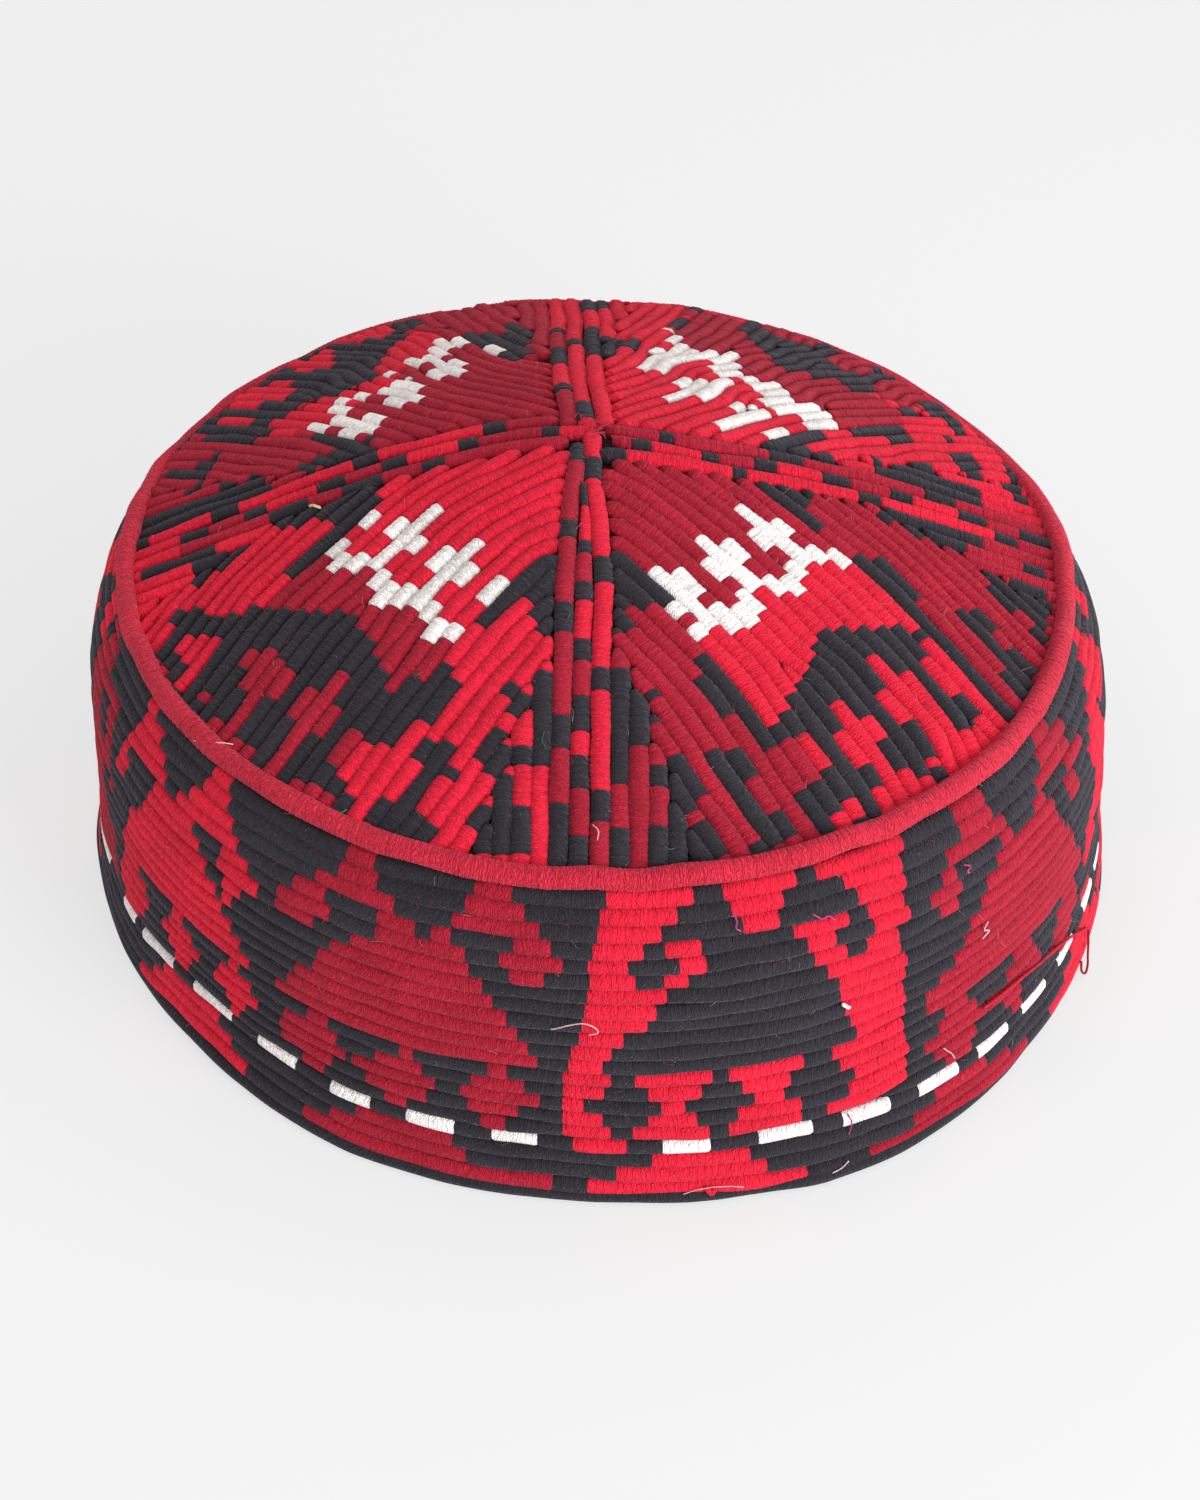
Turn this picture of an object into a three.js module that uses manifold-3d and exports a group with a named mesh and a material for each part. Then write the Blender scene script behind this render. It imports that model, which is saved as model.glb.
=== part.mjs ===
// A round cap of wound wool cords, couched side by side on a cotton ground: a band of stacked
// cords, a domed crown of four quarters between four ribs, an edge cord and a bound rim.
// Millimetres, +Z up. The origin is the middle of the rim, on the surface that the cap rests on,
// and the front of the cap faces -Y.

import * as THREE from 'three';
import { mergeVertices } from 'three/addons/utils/BufferGeometryUtils.js';
import Module from 'manifold-3d';

const wasm = await Module();
wasm.setup();

// Driving sizes, in millimetres, and directions in degrees.
const edgeRadius = 82;          // plan radius of the middle of the edge cord
const bandHeight = 60.8;        // from the rim up to the middle of the edge cord
const rimFlare = 12.9;          // how much wider the rim stands than the edge cord
const waistDraw = 3.2;          // how far the middle of the band draws in
const shoulderPower = 5.5;      // how tightly the band turns in below the edge cord
const domeRise = 24.8;          // from the edge cord up to the middle of the crown
const domePower = 1.36;         // 1 is a cone, 2 is a bowl
const ovalOffset = 2.7;         // how much the longest half-width exceeds the mean
const ovalTurn = -56.6;         // direction of the longest width, from +X
const clothThickness = 3.8;     // ground cloth and cord together
const crownCordPitch = 2.85;    // spacing of the cords on the crown's quarters
const crownFurrow = 0.6;        // depth of the furrow between two crown cords
const bandRows = 21;            // cords in the band, one above the other
const bandFurrow = 0.55;        // depth of the furrow between two band cords
const edgeCord = 3.2;           // diameter of the edge cord
const rimCordHeight = 2.9;      // height of the rim's binding
const rimCordWidth = 4.2;       // width of the rim's binding, over both faces of the band
const rimFoot = 3.0;            // width of its flat underside
const ribCords = 3;             // cords side by side in a rib
const ribCordPitch = 3.15;      // their spacing
const middleCords = 11;         // parallel cords in the middle of a quarter
const clearance = 0.3;          // gap between neighbouring pieces

// Where each rib runs, and the two ribs that each quarter lies between, counterclockwise.
const ribAzimuths = { right: 0.5, back: 92, left: 182.5, front: 266 };
const gores = [
  { name: 'back_right', from: 'right', to: 'back', colour: 0xc8202f },
  { name: 'back_left', from: 'back', to: 'left', colour: 0x96202f },
  { name: 'front_left', from: 'left', to: 'front', colour: 0xc8202f },
  { name: 'front_right', from: 'front', to: 'right', colour: 0x96202f },
];

// Facets, and the places of the sections as shares of a cord's run, a radius or a height.
const around = 44;
const edgeCordSides = 8;
const socketSteps = 3;
const goreSections = [0, 0.22, 0.58, 1];
const ribSections = [0, 0.08, 0.22, 0.4, 0.6, 0.8, 1];
const crownInnerSections = [1, 0.8, 0.55, 0.28, 0];
const bandInnerSections = [0.88, 0.75, 0.5, 0.2];

// How soon a furrow reaches its full depth along a cord's run: at half of it in a fan, and at
// the second section between parallel cords.
const fanOpening = 2;
const parallelOpening = 1 / goreSections[1];
const fullTurn = 360;
const bandSteps = 40;           // steps in each band cord's height that its crest is sought in

const ribHalfWidth = ribCords * ribCordPitch / 2;
const socketRadius = edgeCord / 2 + clearance;
const edge = new THREE.Vector2(edgeRadius, bandHeight);
const { degToRad } = THREE.MathUtils;

// The outer surface of a round cap as two profiles, each point a radius and a height.
function domePoint(radius) {
  const share = radius / edgeRadius;
  return new THREE.Vector2(radius, bandHeight + domeRise * (1 - share ** domePower));
}

function bandPoint(height) {
  const share = height / bandHeight;
  const flare = rimFlare * (1 - share ** shoulderPower);
  const waist = waistDraw * 4 * share * (1 - share);
  return new THREE.Vector2(edgeRadius + flare - waist, height);
}

// Unit directions into the cloth, square to each profile.
function intoDome(radius) {
  const along = domePoint(radius + 1).sub(domePoint(radius));
  return new THREE.Vector2(along.y, -along.x).normalize();
}

function intoBand(height) {
  const along = bandPoint(height).sub(bandPoint(height - 1));
  return new THREE.Vector2(-along.y, along.x).normalize();
}

// Crown and band meet on a mitre that runs inwards from the middle of the edge cord.
const mitre = intoDome(edgeRadius).add(intoBand(bandHeight)).normalize();
const mitreSide = new THREE.Vector2(mitre.y, -mitre.x);
const mitreDepth = clothThickness / mitre.dot(intoBand(bandHeight));

function mitrePoint(depth, side) {
  const point = edge.clone().addScaledVector(mitre, depth);
  return point.addScaledVector(mitreSide, side * clearance / 2);
}

// Points round the edge cord's seat, clear of the cord, between two angles in radians.
function seat(from, to) {
  const step = (to - from) / socketSteps;
  const radius = socketRadius / Math.cos(step / 2);
  const points = [];
  for (let k = 0; k < socketSteps; k += 1) {
    const angle = from + step * (k + 0.5);
    points.push(new THREE.Vector2(Math.cos(angle), Math.sin(angle)).multiplyScalar(radius).add(edge));
  }
  return points;
}

// Vertices that coincide become one, and triangles that this closes up are dropped.
function welded(geometry) {
  geometry.deleteAttribute('normal');
  geometry.deleteAttribute('uv');
  const merged = mergeVertices(geometry, 1e-4);
  const from = merged.index.array;
  const kept = [];
  for (let k = 0; k < from.length; k += 3) {
    const [a, b, c] = [from[k], from[k + 1], from[k + 2]];
    if (a !== b && b !== c && c !== a) kept.push(a, b, c);
  }
  merged.setIndex(kept);
  return merged;
}

// A closed outline of radii and heights, turned round the Z axis.
function turned(outline) {
  const points = outline.slice();
  if (THREE.ShapeUtils.area(points) < 0) points.reverse();
  const onAxis = points[0].x === 0;
  if (!onAxis) points.push(points[0].clone());
  const geometry = new THREE.LatheGeometry(points, around);
  geometry.rotateX(Math.PI / 2);
  return welded(geometry);
}

function solidOf(geometry) {
  const mesh = new wasm.Mesh({
    numProp: 3,
    vertProperties: new Float32Array(geometry.attributes.position.array),
    triVerts: new Uint32Array(geometry.index.array),
  });
  return new wasm.Manifold(mesh);
}

function geometryOf(solid) {
  const mesh = solid.getMesh();
  const geometry = new THREE.BufferGeometry();
  geometry.setAttribute('position', new THREE.BufferAttribute(mesh.vertProperties, 3));
  geometry.setIndex(new THREE.BufferAttribute(mesh.triVerts, 1));
  return geometry;
}

// The cap is a little longer than it is wide, along the direction of ovalTurn.
function ovalled(geometry) {
  const stretch = ovalOffset / edgeRadius;
  const straight = stretch * Math.cos(2 * degToRad(ovalTurn));
  const crosswise = stretch * Math.sin(2 * degToRad(ovalTurn));
  const matrix = new THREE.Matrix4().set(
    1 + straight, crosswise, 0, 0,
    crosswise, 1 - straight, 0, 0,
    0, 0, 1, 0,
    0, 0, 0, 1,
  );
  return geometry.applyMatrix4(matrix);
}

// A block under a sheet of points, rows running outwards and columns counterclockwise,
// down to a flat floor.
function block(sheet, floor) {
  const rows = sheet.length;
  const columns = sheet[0].length;
  const top = (row, column) => row * columns + column;
  const below = rows * columns;
  const positions = sheet.flat().flatMap((point) => [point.x, point.y, point.z]);
  positions.push(...sheet.flat().flatMap((point) => [point.x, point.y, floor]));
  const index = [];
  for (let row = 0; row < rows - 1; row += 1) {
    for (let column = 0; column < columns - 1; column += 1) {
      const [a, b] = [top(row, column), top(row + 1, column)];
      const [c, d] = [top(row + 1, column + 1), top(row, column + 1)];
      index.push(a, b, d, b, c, d);
      index.push(below + a, below + d, below + b, below + b, below + d, below + c);
    }
  }
  const loop = [];
  for (let column = 0; column < columns - 1; column += 1) loop.push(top(rows - 1, column));
  for (let row = rows - 1; row > 0; row -= 1) loop.push(top(row, columns - 1));
  for (let column = columns - 1; column > 0; column -= 1) loop.push(top(0, column));
  for (let row = 0; row < rows - 1; row += 1) loop.push(top(row, 0));
  loop.forEach((from, k) => {
    const to = loop[(k + 1) % loop.length];
    index.push(below + from, below + to, to, below + from, to, from);
  });
  const geometry = new THREE.BufferGeometry();
  geometry.setAttribute('position', new THREE.Float32BufferAttribute(positions, 3));
  geometry.setIndex(index);
  return welded(geometry);
}

// What is cut from a block of the crown: the hollow under the cloth, and all beyond the mitre.
const floorDepth = 3 * clothThickness;
const crownFloor = bandHeight - 2 * clothThickness;

function crownHollow() {
  const under = crownInnerSections.map((share) => {
    const radius = share * edgeRadius;
    return domePoint(radius).addScaledVector(intoDome(radius), clothThickness);
  });
  under[under.length - 1].x = 0;
  const foot = new THREE.Vector2(under[0].x, bandHeight - floorDepth);
  return turned([new THREE.Vector2(0, foot.y), foot, ...under]);
}

function beyondCrown() {
  const top = edge.clone().add(new THREE.Vector2(0, floorDepth));
  const far = mitrePoint(2 * floorDepth, 1);
  return turned([
    top,
    ...seat(Math.PI / 2, mitre.angle()),
    mitrePoint(socketRadius, 1),
    far,
    new THREE.Vector2(edgeRadius + floorDepth, far.y),
    new THREE.Vector2(edgeRadius + floorDepth, top.y),
  ]);
}

const hollowCutter = solidOf(crownHollow());
const edgeCutter = solidOf(beyondCrown());

function crownPiece(sheet) {
  const solid = solidOf(block(sheet, crownFloor));
  return geometryOf(solid.subtract(hollowCutter).subtract(edgeCutter));
}

// A sheet of points from cords that run straight, in plan, from a start to the crown's edge.
function crownSheet(cords, sections, turn) {
  return sections.map((share) => cords.map((cord) => {
    const end = new THREE.Vector2(edgeRadius, 0).rotateAround(new THREE.Vector2(), cord.endAzimuth);
    const plan = cord.start.clone().lerp(end, share);
    const furrow = cord.furrow * Math.min(1, share * cord.opening);
    const height = domePoint(plan.length()).y - furrow;
    plan.rotateAround(new THREE.Vector2(), turn);
    return new THREE.Vector3(plan.x, plan.y, height);
  }));
}

// Crests and furrows alternate, half a cord apart, from one furrow to the other.
function furrowAt(step) {
  return step % 2 === 0 ? crownFurrow : 0;
}

// The cords of a quarter: parallel ones in the middle, which start along the ribs, and a fan on
// each side, which spreads from the last parallel cord's start.
function goreCords(halfSpan) {
  const ribSide = ribHalfWidth + clearance;
  const apex = ribSide / Math.sin(halfSpan);
  const reach = middleCords * crownCordPitch / 2;
  const startAt = (across) => new THREE.Vector2(apex + Math.abs(across) / Math.tan(halfSpan), across);
  const middle = [];
  for (let step = 0; step <= 2 * middleCords; step += 1) {
    const across = step * crownCordPitch / 2 - reach;
    const endAzimuth = Math.asin(across / edgeRadius);
    middle.push({ start: startAt(across), endAzimuth, furrow: furrowAt(step), opening: parallelOpening });
  }
  const fanFrom = Math.asin(reach / edgeRadius);
  const fanTo = halfSpan - Math.asin(ribSide / edgeRadius);
  const fanCords = Math.round((fanTo - fanFrom) * edgeRadius / crownCordPitch);
  const fan = (side) => Array.from({ length: 2 * fanCords }, (unused, k) => ({
    start: startAt(side * reach),
    endAzimuth: side * THREE.MathUtils.lerp(fanFrom, fanTo, (k + 1) / (2 * fanCords)),
    furrow: furrowAt(k + 1),
    opening: fanOpening,
  }));
  return [...fan(-1).reverse(), ...middle, ...fan(1)];
}

function goreGeometry(gore) {
  const from = ribAzimuths[gore.from];
  const span = (ribAzimuths[gore.to] - from + fullTurn) % fullTurn;
  const sheet = crownSheet(goreCords(degToRad(span / 2)), goreSections, degToRad(from + span / 2));
  return crownPiece(sheet);
}

// A rib's cords start on the bisectors to its neighbours, so that the four ribs meet in a point.
function ribGeometry(name) {
  const order = Object.keys(ribAzimuths);
  const place = order.indexOf(name);
  const azimuth = ribAzimuths[name];
  const ahead = order[(place + 1) % order.length];
  const behind = order[(place + order.length - 1) % order.length];
  const next = (ribAzimuths[ahead] - azimuth + fullTurn) % fullTurn;
  const last = (azimuth - ribAzimuths[behind] + fullTurn) % fullTurn;
  const cords = [];
  for (let step = 0; step <= 2 * ribCords; step += 1) {
    const across = step * ribCordPitch / 2 - ribHalfWidth;
    const bisector = degToRad((across < 0 ? last : next) / 2);
    const tip = clearance / 2 / Math.sin(bisector);
    cords.push({
      start: new THREE.Vector2(tip + Math.abs(across) / Math.tan(bisector), across),
      endAzimuth: Math.asin(across / edgeRadius),
      furrow: furrowAt(step),
      opening: parallelOpening,
    });
  }
  return crownPiece(crownSheet(cords, ribSections, degToRad(azimuth)));
}

// Points of the band's outer face, bottom to top, evenly spaced along it: a furrow, a crest, ...
function bandFace() {
  const foot = rimCordHeight + clearance;
  const samples = bandSteps * bandRows;
  const lengths = [0];
  const heightAt = (sample) => THREE.MathUtils.lerp(foot, bandHeight, sample / samples);
  for (let sample = 1; sample <= samples; sample += 1) {
    const step = bandPoint(heightAt(sample)).distanceTo(bandPoint(heightAt(sample - 1)));
    lengths.push(lengths[sample - 1] + step);
  }
  const run = lengths[samples] - socketRadius;
  const points = [];
  for (let half = 0; half <= 2 * bandRows; half += 1) {
    const target = run * half / (2 * bandRows);
    const height = heightAt(lengths.findIndex((length) => length >= target));
    const furrow = half % 2 === 0 ? bandFurrow : 0;
    points.push(bandPoint(height).addScaledVector(intoBand(height), furrow));
  }
  return points;
}

function bandGeometry() {
  const foot = rimCordHeight + clearance;
  const outer = bandFace();
  const inner = bandInnerSections.map((share) => {
    const height = share * bandHeight;
    return bandPoint(height).addScaledVector(intoBand(height), clothThickness);
  });
  const innerFoot = bandPoint(foot).addScaledVector(intoBand(foot), clothThickness);
  innerFoot.y = foot;
  const down = bandPoint(bandHeight - 1).sub(edge).angle();
  return turned([
    ...outer,
    ...seat(down, mitre.angle()),
    mitrePoint(socketRadius, -1),
    mitrePoint(mitreDepth, -1),
    ...inner,
    innerFoot,
  ]);
}

function edgeCordGeometry() {
  const outline = [];
  for (let side = 0; side < edgeCordSides; side += 1) {
    const angle = 2 * Math.PI * (side + 0.5) / edgeCordSides;
    outline.push(new THREE.Vector2(Math.cos(angle), Math.sin(angle)).multiplyScalar(edgeCord / 2).add(edge));
  }
  return turned(outline);
}

function rimGeometry() {
  const middle = bandPoint(0).x - clothThickness / 2;
  const section = [
    [rimFoot / 2, 0],
    [rimCordWidth / 2, rimCordHeight / 3],
    [rimCordWidth / 2, rimCordHeight * 2 / 3],
    [rimFoot / 2, rimCordHeight],
  ];
  const outside = section.map(([across, height]) => new THREE.Vector2(middle + across, height));
  const inside = section.map(([across, height]) => new THREE.Vector2(middle - across, height)).reverse();
  return turned([...outside, ...inside]);
}

const cap = new THREE.Group();

function add(name, geometry, colour) {
  const material = new THREE.MeshStandardMaterial({ color: colour, roughness: 0.95, metalness: 0 });
  const mesh = new THREE.Mesh(ovalled(geometry), material);
  mesh.name = name;
  cap.add(mesh);
}

for (const gore of gores) add(`crown_gore_${gore.name}`, goreGeometry(gore), gore.colour);
for (const name of Object.keys(ribAzimuths)) add(`crown_rib_${name}`, ribGeometry(name), 0x6e1f2b);
add('crown_piping', edgeCordGeometry(), 0xb93340);
add('side_band', bandGeometry(), 0x4a262e);
add('rim_binding', rimGeometry(), 0x2f2f35);

export default cap;
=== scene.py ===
# %% [markdown]
# # An embroidered cap of wound wool cords
#
# The real cap is a cotton shell that is covered all over with cords. Each cord is a core that is
# wound with wool yarn, and the maker changes the yarn's colour as the pattern asks, so every
# figure on the cap is made of short lengths of cord, not of printed or stitched shapes.
#
# So the model is made the same way: cords are laid one by one on the cap's surface, and each
# carries its own list of colours. Everything is worked out in millimetres and turned to metres
# only when a mesh is made.

# %% Load the frame
import math

import bpy
import numpy as np
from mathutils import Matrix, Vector


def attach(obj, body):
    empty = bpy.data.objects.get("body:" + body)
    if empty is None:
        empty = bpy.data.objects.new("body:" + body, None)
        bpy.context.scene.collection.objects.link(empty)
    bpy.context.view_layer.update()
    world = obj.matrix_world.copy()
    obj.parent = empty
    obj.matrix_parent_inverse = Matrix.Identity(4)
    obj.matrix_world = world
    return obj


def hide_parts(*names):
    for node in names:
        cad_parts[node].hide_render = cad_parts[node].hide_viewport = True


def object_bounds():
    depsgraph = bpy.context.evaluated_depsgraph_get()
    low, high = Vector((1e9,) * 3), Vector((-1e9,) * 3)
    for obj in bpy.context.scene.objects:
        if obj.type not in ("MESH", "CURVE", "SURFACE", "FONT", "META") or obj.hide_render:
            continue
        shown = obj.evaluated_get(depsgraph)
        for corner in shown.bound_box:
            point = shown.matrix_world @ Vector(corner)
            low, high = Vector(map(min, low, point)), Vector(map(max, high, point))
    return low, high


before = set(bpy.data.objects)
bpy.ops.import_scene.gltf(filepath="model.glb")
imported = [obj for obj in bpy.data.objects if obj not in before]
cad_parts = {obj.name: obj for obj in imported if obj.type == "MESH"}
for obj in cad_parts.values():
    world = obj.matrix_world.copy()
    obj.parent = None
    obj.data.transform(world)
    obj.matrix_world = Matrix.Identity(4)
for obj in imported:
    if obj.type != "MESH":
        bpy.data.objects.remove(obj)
cad_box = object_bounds()
print("frame nodes:", sorted(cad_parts))

# %% [markdown]
# ## The shape of the cap
#
# Two profiles turned round the middle give the whole surface: the dome of the crown, and the
# band, which flares towards the rim and is drawn in a little at its waist. The cap is slightly
# oval, because it was made by hand, so the last step on every point is a small stretch along one
# direction. These are the same sizes as those of the frame.

# %% Sizes in millimetres
EDGE_RADIUS = 82.0
BAND_HEIGHT = 60.8
RIM_FLARE = 12.9
WAIST_DRAW = 3.2
SHOULDER_POWER = 5.5
DOME_RISE = 24.8
DOME_POWER = 1.36
OVAL_OFFSET = 2.7
OVAL_TURN = math.radians(-56.6)
CLOTH_THICKNESS = 3.8
BAND_ROWS = 21
EDGE_CORD = 3.6
RIM_CORD_HEIGHT = 3.0
RIM_CORD_WIDTH = 4.2
RIB_PITCH = 3.15
CROWN_EDGE = 81.8
MM = 0.001


def dome_height(radius):
    return BAND_HEIGHT + DOME_RISE * (1 - (np.abs(radius) / EDGE_RADIUS) ** DOME_POWER)


def band_radius(height):
    share = np.clip(np.asarray(height, float) / BAND_HEIGHT, 0, 1)
    return EDGE_RADIUS + RIM_FLARE * (1 - share ** SHOULDER_POWER) - WAIST_DRAW * 4 * share * (1 - share)


def oval(points):
    stretch = OVAL_OFFSET / EDGE_RADIUS
    straight = stretch * math.cos(2 * OVAL_TURN)
    crosswise = stretch * math.sin(2 * OVAL_TURN)
    x, y, z = np.asarray(points, float).T
    return np.stack([x * (1 + straight) + y * crosswise, x * crosswise + y * (1 - straight), z], axis=1)


low, high = cad_box
print("frame box, mm:", [round(v * 1000, 1) for v in (*low, *high)])
print("dome top, mm:", round(float(dome_height(0)), 1), "rim radius, mm:", round(float(band_radius(0)), 1))

# %% [markdown]
# ## The camera
#
# The camera looks down on the front of the cap at about 41 degrees from half a metre away, with
# the frame's long side upright. Its focal length is given as in the photograph's own frame, and
# becomes a lens length on the sensor's long side.

# %% Camera
PHOTO_HEIGHT = 1500
FOCAL_PIXELS = 2814.8
CAMERA_ELEVATION = 0.7109
CAMERA_ROLL = -0.0154
CAMERA_DISTANCE = 6.4399 * EDGE_RADIUS
CAMERA_ASIDE = 0.0113 * EDGE_RADIUS
CAMERA_ABOVE = 0.1371 * EDGE_RADIUS
SENSOR = 36.0

forward = np.array([0, math.cos(CAMERA_ELEVATION), -math.sin(CAMERA_ELEVATION)])
upward = np.array([0, math.sin(CAMERA_ELEVATION), math.cos(CAMERA_ELEVATION)])
place = -forward * CAMERA_DISTANCE + np.array([CAMERA_ASIDE, 0, 0]) + upward * CAMERA_ABOVE
bpy.ops.object.camera_add(location=place * MM, rotation=(math.pi / 2 - CAMERA_ELEVATION, 0, 0))
camera = bpy.context.object
camera.rotation_mode = "QUATERNION"
tilt = camera.rotation_euler.to_quaternion()
roll = type(tilt)((0, 0, 1), CAMERA_ROLL)
camera.rotation_quaternion = tilt @ roll
camera.data.sensor_fit = "AUTO"
camera.data.sensor_width = SENSOR
camera.data.lens = FOCAL_PIXELS * SENSOR / PHOTO_HEIGHT
camera.data.dof.use_dof = False
bpy.context.scene.camera = camera
print("camera at, mm:", place.round(1), "lens, mm:", round(camera.data.lens, 2))

# %% [markdown]
# ## Yarn
#
# The yarn is matt, hairy wool, wound in fine turns across each cord, and every few turns it is
# caught down through the cotton, which gives each cord the lumps of a rope. Turns and lumps follow
# the cord, so they read a UV map whose first number is the length along the cord in millimetres
# and whose second is the way round it, with the crest at 1.5. Shade is painted into the colour:
# the furrows between turns are painted darker, and the lumps are painted darkest at their sides,
# where they dip to the next cord. Sheen gives the bloom of loose hairs, and every run of colour
# carries its own small shade in an attribute, because no two lengths were dyed alike.

# %% Shader parts
def linear(hex_colour):
    values = [int(hex_colour[k:k + 2], 16) / 255 for k in (1, 3, 5)]
    return (*[v / 12.92 if v <= 0.04045 else ((v + 0.055) / 1.055) ** 2.4 for v in values], 1)


def add_node(tree, kind, settings=None, links=None, **properties):
    node = tree.nodes.new(kind)
    for name, value in properties.items():
        setattr(node, name, value)
    for name, value in (settings or {}).items():
        node.inputs[name].default_value = value
    for name, socket in (links or {}).items():
        tree.links.new(socket, node.inputs[name])
    return node


def calculate(tree, operation, *values):
    """A math node on numbers and sockets, and its output."""
    settings = {k: v for k, v in enumerate(values) if isinstance(v, (int, float))}
    links = {k: v for k, v in enumerate(values) if not isinstance(v, (int, float))}
    return add_node(tree, "ShaderNodeMath", settings, links, operation=operation).outputs[0]


def ranged(tree, value, low, high, to_low, to_high):
    """The value carried from one range to another and kept inside it."""
    settings = {"From Min": low, "From Max": high, "To Min": to_low, "To Max": to_high}
    return add_node(tree, "ShaderNodeMapRange", settings, {0: value}).outputs[0]


def noise(tree, vector, scale, detail=2):
    settings = {"Scale": scale, "Detail": detail}
    return add_node(tree, "ShaderNodeTexNoise", settings, {"Vector": vector}).outputs[0]


def attribute(tree, name):
    return add_node(tree, "ShaderNodeAttribute", attribute_name=name).outputs["Fac"]


def matt_material(name, roughness, specular):
    """A material with nothing but its roughness and its specular level, with its node tree and shader."""
    material = bpy.data.materials.new(name)
    material.use_nodes = True
    tree = material.node_tree
    shader = tree.nodes["Principled BSDF"]
    shader.inputs["Roughness"].default_value = roughness
    shader.inputs["Specular IOR Level"].default_value = specular
    return material, tree, shader


def object_places(tree):
    return add_node(tree, "ShaderNodeTexCoord").outputs["Object"]


def give_colour(tree, shader, colour, level):
    """The colour, made lighter and darker by the level."""
    tint = {0: linear(colour)[:3]}
    tone = add_node(tree, "ShaderNodeVectorMath", tint, {"Scale": level}, operation="SCALE")
    tree.links.new(tone.outputs[0], shader.inputs["Base Color"])


def give_relief(tree, shader, height, strength, distance):
    depth = {"Strength": strength, "Distance": distance}
    bump = add_node(tree, "ShaderNodeBump", depth, {"Height": height})
    tree.links.new(bump.outputs[0], shader.inputs["Normal"])


print("sRGB mid grey is", round(linear("#808080")[0], 3), "in linear light")

# %% Wound yarn
TURN_SPACING = 0.46     # from one turn of the yarn to the next, in millimetres along the cord
LUMP_SPACING = 1.15     # from one lump to the next on a cord that is modelled smooth
HAIR_GRAIN = 0.72       # size of the fine hairiness
PATCH_SIZE = 9          # size of the faint patches where the dye took unevenly
LEAN = 0.1              # how much the turns lean across the cord
CREST = 1.5             # the crest of a cord in its UV map


def wound_yarn(name, colour, sheen, sheen_tint, turn_painted_shade=0.26, lump_painted_shade=0.45):
    material, tree, shader = matt_material(name, 0.92, 0.15)
    uv = add_node(tree, "ShaderNodeUVMap", uv_map="along").outputs[0]
    split = add_node(tree, "ShaderNodeSeparateXYZ", links={0: uv})
    along, across = split.outputs[0], split.outputs[1]
    places = object_places(tree)
    uneven = noise(tree, uv, 0.8)
    leaning = calculate(tree, "MULTIPLY_ADD", across, LEAN, along)
    # The turns, as a wave along the cord: it paints shade into the furrows between turns, and raises their
    # relief.
    turns = calculate(tree, "MULTIPLY_ADD", uneven, 2.0, leaning)
    turns = calculate(tree, "SINE", calculate(tree, "MULTIPLY", turns, 2 * math.pi / TURN_SPACING))
    # The lumps: painted ones on smooth cords, and the modelled ones where the attribute holds them.
    lumps = calculate(tree, "MULTIPLY_ADD", uneven, 2.6, leaning)
    lumps = calculate(tree, "SINE", calculate(tree, "MULTIPLY", lumps, math.pi / LUMP_SPACING))
    lumps = calculate(tree, "POWER", calculate(tree, "ABSOLUTE", lumps), 0.6)
    modelled = attribute(tree, "lump")
    lumps = calculate(tree, "MULTIPLY", lumps, calculate(tree, "LESS_THAN", modelled, -0.5))
    lumps = calculate(tree, "MAXIMUM", lumps, modelled)
    # Painted shade: the dips between lumps are painted darker, most of all at the cord's sides, where shade
    # falls between cords.
    side = calculate(tree, "ABSOLUTE", calculate(tree, "SUBTRACT", across, CREST))
    painted_dip_shade = ranged(tree, side, 0.4, 2.0, 0.3 * lump_painted_shade, lump_painted_shade)
    painted_dip_shade = calculate(tree, "MULTIPLY", painted_dip_shade, calculate(tree, "SUBTRACT", 1.0, lumps))
    hairs = noise(tree, places, 1 / (HAIR_GRAIN * MM), 4)
    patches = noise(tree, places, 1 / (PATCH_SIZE * MM))
    level = calculate(tree, "SUBTRACT", 1.0, painted_dip_shade)
    # The level: painted shade of the dips and of the furrows between turns, times random hairiness, dye
    # patches and each run's own tone.
    for part in (ranged(tree, turns, -1, 0.6, 1 - turn_painted_shade, 1), ranged(tree, hairs, 0.3, 0.7, 0.8, 1.18),
                 ranged(tree, patches, 0.3, 0.7, 0.9, 1.08), attribute(tree, "shade")):
        level = calculate(tree, "MULTIPLY", level, part)
    give_colour(tree, shader, colour, level)
    relief = calculate(tree, "MULTIPLY_ADD", turns, 0.34, lumps)
    give_relief(tree, shader, calculate(tree, "MULTIPLY_ADD", hairs, 0.7, relief), 0.7, 0.3 * MM)
    shader.inputs["Sheen Weight"].default_value = sheen
    shader.inputs["Sheen Roughness"].default_value = 0.45
    shader.inputs["Sheen Tint"].default_value = linear(sheen_tint)
    return material


print("turns in a centimetre of cord:", round(10 / TURN_SPACING))

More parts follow.
